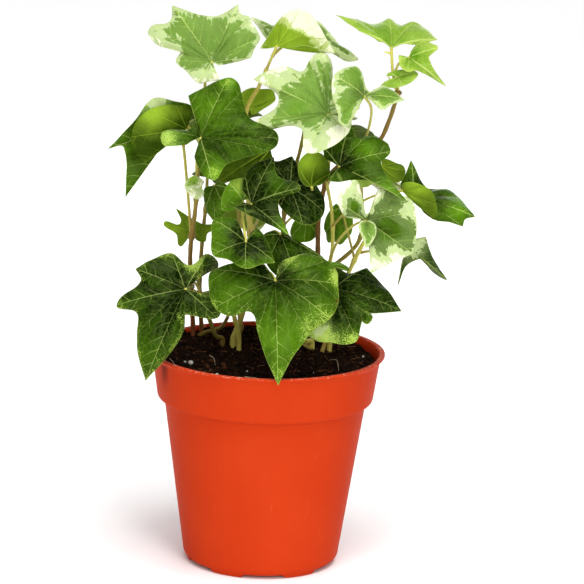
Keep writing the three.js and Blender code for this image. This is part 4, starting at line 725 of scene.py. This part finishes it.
def add_blade(skin, form, seed, rng):
    """One leaf: upper face, under face and thin edge, with its veins pressed into the mesh."""
    base, normal, rays = blade_rays(form)
    tip_lengths = [np.linalg.norm(ray) for ray, kind, _ in rays if kind == "tip"]
    size = form["fan"][-1] if "fan" in form else max(tip_lengths)
    edge_steps, ring_count = LARGE_GRID if size > LARGE_LEAF else SMALL_GRID
    reaches = 1 - (1 - np.linspace(0, 1, ring_count + 1)) ** EDGE_CROWDING
    sectors = blade_sectors(form, base, normal, rays, edge_steps, reaches)
    # the sectors' grids side by side, with each column that two of them share kept once
    grid = {key: np.concatenate([s[key][i > 0:] for i, s in enumerate(sectors)]) for key in sectors[0]}
    ahead = unit(sectors[len(sectors) // 2]["flat"][0, -1])
    plane = np.stack([grid["flat"] @ np.cross(ahead, normal), grid["flat"] @ ahead], -1)
    outline = np.concatenate([plane[0, ring_count // 3:], plane[:, -1], plane[-1, ring_count // 3:]])
    edge = np.sqrt(((plane[:, :, None] - outline) ** 2).sum(-1).min(-1))
    tints = blade_tints(form, edge, seen_at(grid["points"]))
    points = grid["points"] + small_forms(form, grid, edge, plane, reaches, size, rng)[..., None] * normal
    columns, rings = edge.shape
    half = BLADE_HALF * np.minimum(1, EDGE_SHARE + edge / EDGE_WIDTH)
    lift = grid_normals(points, normal) * half[..., None]
    upper, under = (skin.add_points([face[0, 0], *face[:, 1:].reshape(-1, 3)])
                    for face in (points + lift, points - lift))

    def index(column, ring):
        return np.where(ring == 0, 0, column * (rings - 1) + ring)

    column, ring = np.indices((edge_steps, rings - 2)).reshape(2, -1) + [[0], [1]]
    quads = ((column, ring), (column, ring + 1), (column + 1, ring + 1), (column + 1, ring))
    column = np.arange(edge_steps)
    triangles = ((column, column * 0), (column, column * 0 + 1), (column + 1, column * 0 + 1))
    for k, sector in enumerate(sectors):
        span = slice(k * edge_steps, (k + 1) * edge_steps + 1)
        reach = np.minimum(sector["on_vein"] / sector["length"], 1)
        strength = sector["vein"] * (1 - 0.85 * sector["hollow"] ** 2)
        carried = dict(
            rib=np.stack([side_vein_count(sector, size), sector["off_vein"], reach], -1),
            rim=np.stack([edge[span], strength, seed * LEAF_STRIDE + sector["lobe"] * LOBE_STRIDE], -1),
            tint=tints[span])
        for shape in (quads, triangles):
            corners = np.stack([index(k * edge_steps + c, r) for c, r in shape], 1)
            values = {key: np.stack([v[c, r] for c, r in shape], 1) for key, v in carried.items()}
            skin.add_faces(upper + corners, TOP, **values)
            skin.add_faces(under + corners[:, ::-1], UNDER, **{key: v[:, ::-1] for key, v in values.items()})
    outward, inward = np.arange(1, rings), np.arange(rings - 2, 0, -1)
    loop = np.concatenate([[0], index(0, outward), index(np.arange(1, columns), rings - 1),
                           index(columns - 1, inward)])
    after = np.roll(loop, -1)
    skin.add_faces(np.stack([upper + loop, under + loop, under + after, upper + after], 1), TOP,
                   rib=FAR_FROM_VEINS, rim=(0, 0, seed), tint=tints[:, -1].mean(0))
    return size


# ---------------------------------------------------------------- materials
def srgb(red, green, blue):
    """A colour as seen on a screen, 0 to 255, as the linear colour that a shader takes."""
    shares = np.array([red, green, blue]) / 255
    linear = np.where(shares <= 0.04045, shares / 12.92, ((shares + 0.055) / 1.055) ** 2.4)
    return (*linear.tolist(), 1.0)


class Wire:
    """One node's result. Wires add and multiply as numbers do, each sum making its own node."""

    def __init__(self, graph, socket):
        self.graph, self.socket = graph, socket

    def __add__(self, other):
        return self.graph.math("ADD", self, other)

    def __sub__(self, other):
        return self.graph.math("SUBTRACT", self, other)

    def __rsub__(self, other):
        return self.graph.math("SUBTRACT", other, self)

    def __mul__(self, other):
        return self.graph.math("MULTIPLY", self, other)

    def __truediv__(self, other):
        return self.graph.math("DIVIDE", self, other)

    __radd__ = __add__

    def step(self, low, high):
        """Rises smoothly from 0 at low to 1 at high. With low above high it falls."""
        ends = (self, min(low, high), max(low, high), 0.0, 1.0)
        rising = self.graph.fed("MapRange", ends, interpolation_type="SMOOTHSTEP")
        return rising if low < high else 1 - rising


class Graph:
    """A material's nodes, from its coordinates to its one Principled shader."""

    def __init__(self, name, **constants):
        self.material = bpy.data.materials.new(name)
        self.material.use_nodes = True
        self.tree = self.material.node_tree
        self.shader = self.tree.nodes["Principled BSDF"]
        for key, value in constants.items():
            self.shader.inputs[key.replace("_", " ")].default_value = value
        self.position = Wire(self, self.node("TexCoord").outputs["Object"])
        self.position = self.stretched(1 / MM, 1 / MM, 1 / MM)

    def node(self, kind, **settings):
        node = self.tree.nodes.new("ShaderNode" + kind)
        for key, value in settings.items():
            setattr(node, key, value)
        return node

    def put(self, socket, value):
        if isinstance(value, Wire):
            self.tree.links.new(value.socket, socket)
        else:
            socket.default_value = value

    def fed(self, kind, values, **settings):
        """The first result of a new node with its first inputs filled in order."""
        node = self.node(kind, **settings)
        for socket, value in zip(node.inputs, values):
            self.put(socket, value)
        return Wire(self, node.outputs[0])

    def math(self, operation, *values):
        return self.fed("Math", values, operation=operation)

    def clamp(self, value):
        return self.math("MAXIMUM", self.math("MINIMUM", value, 1.0), 0.0)

    def mix(self, share, first, second):
        """The first colour where share is 0 and the second where it is 1."""
        node = self.node("Mix", data_type="RGBA", clamp_factor=True)
        for index, value in ((0, share), (6, first), (7, second)):
            self.put(node.inputs[index], value)
        return Wire(self, node.outputs[2])

    def stretched(self, *factors):
        """The position with each axis scaled."""
        return self.fed("VectorMath", (self.position, factors), operation="MULTIPLY")

    def split(self, wire):
        """The three numbers of a place."""
        node = self.node("SeparateXYZ")
        self.put(node.inputs[0], wire)
        return [Wire(self, output) for output in node.outputs]

    def noise(self, per_mm, detail=2.0, rough=0.5, where=None):
        node = self.node("TexNoise")
        values = {"Vector": where or self.position, "Scale": per_mm, "Detail": detail, "Roughness": rough}
        for key, value in values.items():
            self.put(node.inputs[key], value)
        return Wire(self, node.outputs["Fac"])

    def cells(self, per_mm, feature="F1", where=None):
        node = self.node("TexVoronoi", feature=feature)
        self.put(node.inputs["Vector"], where or self.position)
        self.put(node.inputs["Scale"], per_mm)
        return Wire(self, node.outputs["Distance"])

    def random(self, value):
        node = self.node("TexWhiteNoise", noise_dimensions="1D")
        self.put(node.inputs["W"], value)
        return Wire(self, node.outputs["Value"])

    def carried(self, name):
        """The three numbers, and the fourth, that the mesh carries under a name."""
        node = self.node("Attribute", attribute_name=name)
        return (*self.split(Wire(self, node.outputs["Vector"])), Wire(self, node.outputs["Alpha"]))

    def finish(self, colour, roughness, height, height_mm):
        """Puts the colour, the roughness and the relief on the shader."""
        bump = self.node("Bump")
        for key, value in {"Strength": 1.0, "Distance": height_mm * MM, "Height": height}.items():
            self.put(bump.inputs[key], value)
        results = {"Normal": Wire(self, bump.outputs[0]), "Base Color": colour, "Roughness": roughness}
        for key, value in results.items():
            self.put(self.shader.inputs[key], value)
        return self.material


def blade_masks(graph):
    """What both faces of a blade share: main veins, side veins, net, a random number for each strip
    between side veins, streaks along the side veins, how far a point is from edge and base, and fine and
    broad noise."""
    count, off_vein, reach, _ = graph.carried("rib")
    edge, strength, seed, _ = graph.carried("rim")
    width = (0.5 - reach * 0.38) * strength
    main = (off_vein / width).step(1.0, 0.3)
    counted = count + (graph.noise(0.09, 1.0) - 0.5) * 0.9
    away = graph.math("ABSOLUTE", graph.math("FRACT", counted + 0.5) - 0.5) * SIDE_VEIN_SPACING
    side_veins = away.step(0.34, 0.06) * strength * off_vein.step(14.0, 4.0)
    net = graph.cells(0.42, "DISTANCE_TO_EDGE").step(0.05, 0.01)
    strip = graph.random(graph.math("FLOOR", counted + 0.5) + seed) - 0.5
    along = graph.fed("CombineXYZ", (counted, off_vein * 0.16, seed))
    streak = graph.noise(2.6, 3.0, 0.6, along) - 0.5
    fine = graph.noise(0.9, 4.0, 0.6) - 0.5
    broad = graph.noise(0.16, 3.0, 0.55) - 0.5
    return main, side_veins, net, strip, streak, edge, reach, fine, broad


def leaf_top():
    graph = Graph("leaf_top", Specular_IOR_Level=0.13, Specular_Tint=(0.72, 1.0, 0.3, 1.0))
    cream, lime, tone, burnt = graph.carried("tint")
    main, side_veins, net, strip, streak, edge, reach, fine, broad = blade_masks(graph)
    speck = graph.noise(1.9, 4.0, 0.75) - 0.5
    lifted = graph.clamp(tone + broad * 0.22 + fine * 0.16 + strip * 0.09 + (reach - 0.45) * 0.14)
    patch = cream + broad * 0.5 + strip * 0.22 + streak * 0.5 + fine * 0.1
    greyed = patch.step(0.27, 0.31) * cream.step(0.05, 0.12)
    pale = patch.step(0.56, 0.6)
    speckle = graph.clamp(lime + speck * 1.9 + broad * 0.6).step(0.4, 0.56)
    clear = lifted * 0.6 + greyed * 0.1 + 0.26
    scorched = graph.clamp(burnt + fine * 0.4).step(0.45, 0.7)

    colour = graph.mix(lifted * 2.0, srgb(9, 24, 1), srgb(86, 130, 16))
    for share, over in (
            (lifted * 2.0 - 1.0, srgb(172, 200, 84)), (cream.step(0.0, 0.12) * 0.17, srgb(176, 192, 130)),
            (speckle * 0.62, srgb(184, 208, 92)), (greyed * 0.9, srgb(184, 200, 142)),
            (pale, srgb(232, 234, 202)), (main * clear, srgb(196, 214, 118)),
            (side_veins * clear * 0.78, srgb(180, 204, 100)), (net * 0.1, srgb(150, 180, 70)),
            (edge.step(0.4, 0.1) * 0.3, srgb(150, 174, 70)), (scorched, srgb(84, 52, 24))):
        colour = graph.mix(share, colour, over)
    height = 1 - main * 0.35 - side_veins * 0.4 - net * 0.3 + fine * 0.25
    return graph.finish(colour, 0.27 + fine * 0.14 + pale * 0.12, height, 0.16)


def leaf_under():
    graph = Graph("leaf_under", Specular_IOR_Level=0.08, Specular_Tint=(0.8, 1.0, 0.4, 1.0))
    cream, _, tone, _ = graph.carried("tint")
    main, side_veins, net, strip, streak, _, reach, fine, broad = blade_masks(graph)
    lifted = graph.clamp(tone + broad * 0.4 + fine * 0.12 + (reach - 0.5) * 0.1)
    patch = cream + broad * 0.4 + strip * 0.16 + streak * 0.5 + fine * 0.14
    colour = graph.mix(lifted, srgb(38, 58, 1), srgb(150, 184, 46))
    for share, over in (
            (patch.step(0.34, 0.46) * 0.7, srgb(206, 218, 140)),
            (patch.step(0.54, 0.64), srgb(236, 238, 206)), (main * 0.5, srgb(152, 178, 50)),
            (side_veins * 0.14, srgb(156, 184, 66)), (net * 0.12, srgb(76, 104, 14))):
        colour = graph.mix(share, colour, over)
    height = main * 0.7 + side_veins * 0.4 + net * 0.2 + fine * 0.2
    return graph.finish(colour, 0.5 + fine * 0.15, height, 0.18)


def stem_skin():
    graph = Graph("stem", Specular_IOR_Level=0.2)
    wood, red, tone, _ = graph.carried("tint")
    streak = graph.noise(0.9, 4.0, 0.6, graph.stretched(1.0, 1.0, 0.22))
    patch = graph.noise(0.3, 2.0) - 0.5
    cork = graph.cells(0.9, where=graph.stretched(1.0, 1.0, 0.5)).step(0.35, 0.15)
    fresh = graph.mix(tone + patch * 0.4, srgb(92, 98, 16), srgb(218, 212, 98))
    flushed = graph.mix(graph.clamp(red + patch * 0.5), fresh, srgb(132, 58, 34))
    bark = graph.mix(streak, srgb(60, 34, 12), srgb(158, 112, 50))
    aged = graph.clamp(wood + patch * 0.5 + (streak - 0.5) * 0.3)
    colour = graph.mix(cork * 0.35 * wood, graph.mix(aged, flushed, bark), srgb(160, 128, 76))
    return graph.finish(colour, 0.36 + streak * 0.2, streak + cork * 0.4, 0.2)


def pot_plastic():
    graph = Graph("pot_plastic", Specular_IOR_Level=0.012)
    x, y, z = graph.split(graph.position)
    grain = graph.noise(3.2, 3.0, 0.6)
    scuff = graph.noise(0.5, 5.0, 0.7, graph.stretched(1.0, 1.0, 0.15)).step(0.62, 0.72)
    ring = graph.noise(0.9, 2.0, 0.5, graph.stretched(0.02, 0.02, 1.0))
    crusted = graph.noise(0.75, 5.0, 0.75).step(0.56, 0.64) * z.step(*CRUST)
    # streak here is a painted shadow: the shade a leaf tip casts on the collar, painted dark into the
    # plastic.
    streak = x.step(*PAINTED_SHADOW_LEFT) * x.step(*PAINTED_SHADOW_RIGHT) * y.step(*PAINTED_SHADOW_BACK)
    streak *= z.step(*PAINTED_SHADOW_FOOT) * z.step(*PAINTED_SHADOW_TOP)
    colour = graph.mix(graph.noise(0.035, 3.0, 0.5), srgb(184, 50, 16), srgb(197, 62, 25))
    colour = graph.mix(scuff * 0.12, colour, srgb(240, 120, 80))
    colour = graph.mix(crusted * 0.75, colour, srgb(226, 196, 168))
    # The painted leaf-tip shadow's dark colour on the collar.
    colour = graph.mix(streak * 0.72, colour, srgb(84, 24, 10))
    relief = grain * 0.6 + ring * 0.4 + scuff * 0.2
    return graph.finish(colour, 0.36 + grain * 0.12 + scuff * 0.1, relief, 0.06)


def peat(name, dark, light):
    graph = Graph(name, Specular_IOR_Level=0.06)
    fine = graph.noise(1.6, 5.0, 0.7)
    fibre = graph.noise(2.2, 3.0, 0.6, graph.stretched(1.0, 0.25, 0.6))
    share = (fine * 0.7 + graph.noise(0.25, 2.0) * 0.5 + fibre * 0.3 - 0.58) * 1.9
    colour = graph.mix(graph.clamp(share), srgb(*dark), srgb(*light))
    return graph.finish(colour, 0.95, fine + fibre * 0.5, 0.5)


# ---------------------------------------------------------------- pot
# Radius and height, from the middle of the base round the outside, and from the floor up the inside.
POT_OUTSIDE = [
    (PAD_RADIUS, 0), (PAD_RADIUS + 0.7, FOOT_HEIGHT), (BASE_RADIUS, FOOT_HEIGHT),
    (BASE_RADIUS + 1.2, 2.3), (BASE_RADIUS + 1.85, 3.9), (BODY_FOOT_RADIUS, BODY_FOOT_HEIGHT),
    (BODY_TOP_RADIUS, COLLAR_FOOT_HEIGHT - 1.4), (COLLAR_FOOT_RADIUS - 0.5, COLLAR_FOOT_HEIGHT - 0.9),
    (COLLAR_FOOT_RADIUS, COLLAR_FOOT_HEIGHT), (COLLAR_TOP_RADIUS, POT_HEIGHT - 3.05),
    (COLLAR_TOP_RADIUS + 0.6, POT_HEIGHT - 1.9), (RIM_RADIUS, POT_HEIGHT - 0.75), (RIM_RADIUS, POT_HEIGHT),
]
POT_INSIDE = [
    (BASE_RADIUS - 1.2, FLOOR_TOP), (BODY_FOOT_RADIUS - WALL, BODY_FOOT_HEIGHT + 1),
    (BODY_TOP_RADIUS - WALL, COLLAR_FOOT_HEIGHT - 0.4), (COLLAR_FOOT_RADIUS - WALL, COLLAR_FOOT_HEIGHT + 0.9),
    (COLLAR_TOP_RADIUS - WALL, POT_HEIGHT - 2), (COLLAR_TOP_RADIUS - WALL + 0.9, POT_HEIGHT),
]
FOOT_RING_RADII = (FOOT_INNER_RADIUS - 0.4, FOOT_INNER_RADIUS, BASE_RADIUS - 0.6, BASE_RADIUS - 0.1)


def rounded(profile, radius, steps=4):
    """A profile with each of its corners turned into an arc of short steps."""
    profile = [np.array(p, float) for p in profile]
    points = [profile[0]]
    for before, corner, after in zip(profile, profile[1:], profile[2:]):
        cut = min(radius, np.linalg.norm(before - corner) * 0.45, np.linalg.norm(after - corner) * 0.45)
        start, stop = corner + unit(before - corner) * cut, corner + unit(after - corner) * cut
        for t in np.arange(steps + 1) / steps:
            points.append((1 - t) ** 2 * start + 2 * t * (1 - t) * corner + t ** 2 * stop)
    return [*points, profile[-1]]


def spaced(profile, longest):
    """A profile with its long stretches cut into steps no longer than the given length."""
    points = [profile[0]]
    for a, b in zip(profile, profile[1:]):
        count = max(1, math.ceil(np.linalg.norm(b - a) / longest))
        points += [a + (b - a) * i / count for i in range(1, count + 1)]
    return np.array(points)


def foot_drop(angle, radius, z):
    """How far the pot's underside drops at a place, from 0 to the height of a foot."""
    if z >= FOOT_HEIGHT + 0.6 or not FOOT_INNER_RADIUS - 0.1 < radius < BASE_RADIUS + 0.1:
        return 0
    turned = (angle - FIRST_FOOT_ANGLE + 180 / FEET) % (360 / FEET) - 180 / FEET
    return FOOT_HEIGHT * min(1, max(0, (FOOT_SPAN / 2 - abs(turned)) / FOOT_END_SLOPE))


def make_pot(material):
    profile = rounded([(0.01, 0), *POT_OUTSIDE, *reversed(POT_INSIDE), (0.01, FLOOR_TOP)], EDGE_ROUNDING)
    profile = [(r, z) for r, z in spaced(profile, LONGEST_POT_STEP)
               if not (z < FOOT_HEIGHT + 0.01 and FOOT_INNER_RADIUS - 1 < r < BASE_RADIUS)]
    base_edge = next(i for i, (r, _) in enumerate(profile) if r >= BASE_RADIUS)
    profile[base_edge:base_edge] = [(r, FOOT_HEIGHT) for r in FOOT_RING_RADII]
    angles = np.arange(POT_SIDES) * 360 / POT_SIDES
    turns = np.radians(angles)
    rings = [np.stack([r * np.sin(turns), -r * np.cos(turns), [z - foot_drop(a, r, z) for a in angles]], 1)
             for r, z in profile]
    skin = Skin()
    skin.add_rings(rings, [(0, 0, 0), (0, 0, FLOOR_TOP)], 0)
    pot = skin.to_object("nursery_pot", [material], POT_CREASE)
    cut_drains(pot)
    return pot


def cut_drains(pot):
    """Cuts the round drain holes through the floor."""
    skin = Skin()
    for hole in range(DRAIN_HOLES):
        angle = math.radians(hole * 360 / DRAIN_HOLES)
        x, y = DRAIN_CIRCLE * math.sin(angle), -DRAIN_CIRCLE * math.cos(angle)
        heights = (-2, FLOOR_TOP + 2)
        rings = [circle(DRAIN_SIDES, DRAIN_RADIUS, height, x, y) for height in heights]
        skin.add_rings(rings, [(x, y, height) for height in heights], 0)
    cutter = skin.to_object("drain_cutter", [], POT_CREASE)
    cut = pot.modifiers.new("drains", "BOOLEAN")
    cut.operation, cut.solver, cut.object = "DIFFERENCE", "EXACT", cutter
    bpy.context.view_layer.objects.active = pot
    bpy.ops.object.modifier_apply(modifier=cut.name)
    bpy.data.objects.remove(cutter)


# ---------------------------------------------------------------- soil
SOIL, BARK, PERLITE, FIBRE, PALE_ROOT = range(5)
SOIL_COLOURS = {
    "peat": ((5, 3, 1), (56, 33, 20)), "bark_chip": ((26, 12, 6), (112, 68, 42)),
    "perlite": ((190, 186, 176), (246, 244, 238)), "fibre": ((96, 62, 40), (168, 124, 86)),
    "pale_root": ((176, 150, 120), (236, 222, 200)),
}
# Lumps of perlite (x, y, size), and rootlets: their course (x, y, height over the soil) and their radius.
PERLITE_LUMPS = [
    (-21, -30, 0.8), (-27, -38, 0.5), (-33, -17, 1.3), (-35.5, -15, 0.9), (21.5, -22, 0.8), (43, 6, 0.7),
    (2, -33, 0.4), (34, -30, 0.4), (-8, -25, 0.5), (12, 30, 0.7), (-22, 31, 0.6), (30, 20, 0.5),
]
ROOTLETS = [
    ([(-44, -10, 0.4), (-42, -17, 1.4), (-39, -24, 0.5)], 0.24),
    ([(-9, -34, 0.5), (-3, -38, 1.6), (2, -42.5, 0.6)], 0.2),
    ([(28, -1, 0.6), (31, -7, 2.0), (32, -16, 0.7)], 0.22),
    ([(-14, -35, 0.6), (-10, -37, 1.2), (-7, -36, 0.6)], 0.13),
    ([(-25, -6, 0.8), (-23, -12, 2.2), (-22, -20, 0.8)], 0.2),
    ([(-31, -39, 0.3), (-27, -38, 1.1), (-24, -40, 0.4)], 0.12),
]
# Unevenness of the soil's face: the length and the height of its waves, and how many of each there are.
CRUMB_WAVES = ((9, 0.8), (4, 0.72), (2, 0.56), (1.1, 0.352))
WAVES_OF_EACH = 7


def soil_top(x, y):
    lumps = np.sin(0.31 * x + 1.3) * np.sin(0.27 * y + 0.4) + 0.6 * np.sin(0.61 * x - 0.53 * y)
    return SOIL_LEVEL + SOIL_RISE_TO_BACK * y - SOIL_FALL_TO_RIGHT * x + SOIL_LUMP * lumps


def crumb_heights(x, y, rng):
    height = np.zeros_like(x)
    for length, amount in CRUMB_WAVES:
        for _ in range(WAVES_OF_EACH):
            turn = rng.uniform(0, FULL_TURN)
            wave = FULL_TURN / (length * rng.uniform(0.8, 1.25))
            across = (x * math.cos(turn) + y * math.sin(turn)) * wave + rng.uniform(0, 6.3)
            height += amount / WAVES_OF_EACH * np.sin(across)
    return height


def add_lump(skin, rng, centre, radii, slot, steps=5, sides=8):
    """A rough lump, as rings of points between two ends."""
    lumps = rng.normal(size=(6, 3))
    points = [(0, 0, -1)]
    for i in range(1, steps):
        down = math.pi * i / steps
        for k in range(sides):
            turn = FULL_TURN * (k + 0.5 * (i % 2)) / sides
            points.append(around(math.sin(down), turn, (-math.cos(down),)))
    points = np.array([*points, (0, 0, 1)])
    swell = 1 + 0.08 * np.sin(points @ lumps.T * 1.6).sum(1)
    turn, lean = rng.uniform(0, FULL_TURN), rng.uniform(-0.5, 0.5)
    turned = np.array([[math.cos(turn), -math.sin(turn), 0], [math.sin(turn), math.cos(turn), 0], [0, 0, 1]])
    leaned = np.array([[1, 0, 0], [0, math.cos(lean), -math.sin(lean)], [0, math.sin(lean), math.cos(lean)]])
    points = points * swell[:, None] * radii @ (turned @ leaned).T + centre
    skin.add_rings(points[1:-1].reshape(-1, sides, 3), points[[0, -1]], slot)


def add_root(skin, spots, spacing, sides, radius, thinning, slot):
    path, shares = course_through(spots, spacing)
    radii = radius * (1 - thinning * np.linspace(0, 1, len(path)))
    add_tube(skin, path, radii, sides, slot, np.zeros((len(path), 4)))


def make_soil(materials):
    rng = np.random.default_rng(SEED)
    skin = Skin()
    edge = float(np.interp(SOIL_LEVEL - 4, *np.array(POT_INSIDE).T[::-1])) - SOIL_CLEARANCE
    turns = np.arange(SOIL_SIDES) / SOIL_SIDES * FULL_TURN
    radii = edge * np.linspace(0, 1, SOIL_RINGS + 1)[1:] ** 0.75
    x, y = radii[:, None] * np.cos(turns), radii[:, None] * np.sin(turns)
    z = soil_top(x, y) + crumb_heights(x, y, rng) * np.minimum(1, (edge - radii + 0.6) / 3)[:, None]
    walls = [circle(SOIL_SIDES, r - SOIL_CLEARANCE, h + SOIL_CLEARANCE) for r, h in POT_INSIDE[:4]]
    ends = [(0, 0, FLOOR_TOP + SOIL_CLEARANCE), (0, 0, soil_top(0.0, 0.0))]
    skin.add_rings([*walls, *np.stack([x, y, z], -1)[::-1]], ends, SOIL, turn=1)

    for _ in range(CRUMBS):
        radius, turn = (edge - 0.8) * math.sqrt(rng.uniform()), rng.uniform(0, FULL_TURN)
        size = rng.uniform(*CRUMB_SIZE) * (1 + 1.6 * rng.uniform() ** 6)
        spot = around(radius, turn) * min(1, (edge - size * 1.3) / max(radius, 1e-6))
        height = soil_top(*spot) + rng.uniform(-0.1, 0.5) * size + 0.25
        shape = size * np.array([rng.uniform(0.8, 1.4), rng.uniform(0.6, 1), rng.uniform(0.5, 0.9)])
        add_lump(skin, rng, (*spot, height), shape, SOIL if rng.uniform() < PEAT_SHARE else BARK)
    for x, y, size in PERLITE_LUMPS:
        shape = size * np.array([1, 0.85, 0.75])
        add_lump(skin, rng, (x, y, soil_top(x, y) + size * 0.55), shape, PERLITE, 6, 10)
    for spots, radius in ROOTLETS:
        spots = [(x, y, soil_top(x, y) + over) for x, y, over in spots]
        add_root(skin, spots, 0.8, 6, radius, 0.6, PALE_ROOT)
    for _ in range(FIBRES):
        turn, radius = rng.uniform(0, FULL_TURN), (edge - 4) * math.sqrt(rng.uniform())
        way, length, bend = rng.uniform(0, FULL_TURN), rng.uniform(*FIBRE_LENGTH), rng.uniform(-0.6, 0.6)
        spots = []
        for t in (-0.5, 0, 0.5):
            spot = around(radius, turn) + around(length * t, way + bend * t)
            spots.append((*spot, soil_top(*spot) + 0.9 + rng.uniform(-0.2, 0.4)))
        add_root(skin, spots, 0.6, 5, rng.uniform(*FIBRE_RADIUS), 0, FIBRE)
    return skin.to_object("potting_soil", materials, SOIL_CREASE)


# ---------------------------------------------------------------- vines
TOP, UNDER, STEM = range(3)


def stem_tints(wood, red, tone):
    """The tints along a stem, the amount of wood and of red given at each point."""
    return np.stack([wood, red, wood * 0 + tone, wood * 0 + 1], 1)


def make_vine(form, name, order, materials):
    rng = np.random.default_rng([SEED, order])
    skin = Skin()
    x, y = form["root"]
    ground = soil_top(x, y)
    start = [(x, y, ground - ROOT_DEPTH), (x, y, ground), (x, y, ground + UPRIGHT_ABOVE_SOIL)]
    path, shares = course_through(start + [place(spot) for spot in form["stem"]], STEM_STEP)
    foot, top = form["radii"]
    radii = foot + (top - foot) * shares
    for leaf_form in form["leaves"].values():
        if leaf_form["stalk"]:
            away = np.linalg.norm(path - place(leaf_form["stalk"][0]), axis=1)
            radii = radii * (1 + NODE_SWELL * bell(away, NODE_REACH))
    radii = radii * (1 + 0.05 * np.sin(np.arange(len(radii)) * 0.9 + rng.uniform(0, 6)))
    wood_low, wood_high, red, tone = form.get("bark", USUAL_BARK)
    tints = stem_tints(wood_low + (wood_high - wood_low) * shares, red * (1 - shares) ** 1.5, tone)
    add_tube(skin, path, radii, STEM_SIDES, STEM, tints)
    for spots, (foot, top), (wood, red, tone) in form.get("extras", ()):
        path, shares = course_through([place(spot) for spot in spots], EXTRA_STEP)
        tints = stem_tints(wood + shares * 0, red + shares * 0, tone)
        add_tube(skin, path, foot + (top - foot) * shares, EXTRA_SIDES, STEM, tints)
    for number, leaf_form in enumerate(form["leaves"].values()):
        size = add_blade(skin, leaf_form, order * 10 + number, rng)
        if leaf_form["stalk"]:
            add_stalk(skin, leaf_form, size)
    return skin.to_object(name + "_leafy", materials, LEAF_CREASE)


def add_stalk(skin, leaf_form, size):
    spots = [place(spot) for spot in [*leaf_form["stalk"], leaf_form["base"]]]
    path, shares = course_through(spots, STEM_STEP)
    foot, top = (swell * bell(end, STALK_END_REACH) for swell, end in zip(STALK_ENDS, (shares, 1 - shares)))
    radii = STALK_RADIUS * (0.72 + 0.28 * min(1, size / FULL_WAVE_SIZE)) * (1 + foot + top)
    tints = stem_tints(STALK_WOOD + shares * 0, STALK_RED * bell(shares, 0.3), STALK_TONE)
    add_tube(skin, path, radii, STALK_SIDES, STEM, tints, squash=0.9)


# ---------------------------------------------------------------- the stage
def add_floor():
    bpy.ops.mesh.primitive_plane_add(size=FLOOR_SIZE, location=(0, 0, FLOOR_LEVEL))
    floor = bpy.context.object
    floor.name = "floor"
    graph = Graph("paper_floor", Roughness=0.8, Specular_IOR_Level=0.2)
    colour = graph.mix(graph.noise(0.01), srgb(253, 253, 253), srgb(255, 255, 255))
    graph.put(graph.shader.inputs["Base Color"], colour)
    floor.data.materials.append(graph.material)


def add_lamp(name, kind, spot, back, **settings):
    light = bpy.data.lights.new(name, kind)
    for key, value in settings.items():
        setattr(light, key, value)
    set_pose(add_object(name, light), spot, back, 0)


def set_pose(thing, spot, back, roll):
    """Stands a camera or lamp at a place, looking against back, turned by roll about its view."""
    side = unit(np.cross((0, 0, 1), back))
    up = np.cross(back, side)
    matrix = np.eye(4)
    matrix[:3, 0] = side * math.cos(roll) + up * math.sin(roll)
    matrix[:3, 1] = up * math.cos(roll) - side * math.sin(roll)
    matrix[:3, 2] = back
    matrix[:3, 3] = np.array(spot) * MM
    thing.matrix_world = Matrix(matrix.tolist())


def add_camera():
    camera = bpy.data.cameras.new("view")
    camera.sensor_width, camera.lens = SENSOR, LENS
    camera.clip_start, camera.clip_end = NEAREST, FARTHEST
    eye = add_object("view", camera)
    set_pose(eye, EYE, EYE_BACK, EYE_ROLL)
    bpy.context.scene.camera = eye


def add_sky():
    """A white sky, brighter overhead than at the horizon."""
    world = bpy.data.worlds.new("studio")
    world.use_nodes = True
    nodes, links = world.node_tree.nodes, world.node_tree.links
    direction, split, rise = (nodes.new("ShaderNode" + k) for k in ("TexCoord", "SeparateXYZ", "MapRange"))
    for socket, value in zip(rise.inputs[1:5], (0.0, ZENITH_FROM, HORIZON_LIGHT, ZENITH_LIGHT)):
        socket.default_value = value
    links.new(direction.outputs["Generated"], split.inputs[0])
    links.new(split.outputs["Z"], rise.inputs[0])
    links.new(rise.outputs[0], nodes["Background"].inputs["Strength"])
    nodes["Background"].inputs["Color"].default_value = (1, 1, 1, 1)
    bpy.context.scene.world = world


# ---------------------------------------------------------------- all of it
add_camera()
add_sky()
add_floor()
add_lamp("overhead", "SUN", OVERHEAD_PLACE, unit(np.array(OVERHEAD_BACK)), energy=OVERHEAD_POWER,
         angle=math.radians(OVERHEAD_SPREAD))
for panel, (spot, aim, (wide, tall), watts) in PANELS.items():
    add_lamp(panel, "AREA", spot, unit(np.subtract(spot, aim)), shape="RECTANGLE", size=wide * MM,
             size_y=tall * MM, energy=watts)
bpy.context.scene.view_settings.view_transform = "Standard"

leaf_materials = [leaf_top(), leaf_under(), stem_skin()]
pieces = [(make_vine(form, name, order, leaf_materials), name, "leaf")
          for order, (name, form) in enumerate(VINES.items())]
soil_materials = [peat(name, *colours) for name, colours in SOIL_COLOURS.items()]
pieces += [(make_soil(soil_materials), "soil", "soil"), (make_pot(pot_plastic()), "pot", "pot")]
for piece, node, slot in pieces:
    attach(piece, "root")
    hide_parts(node)
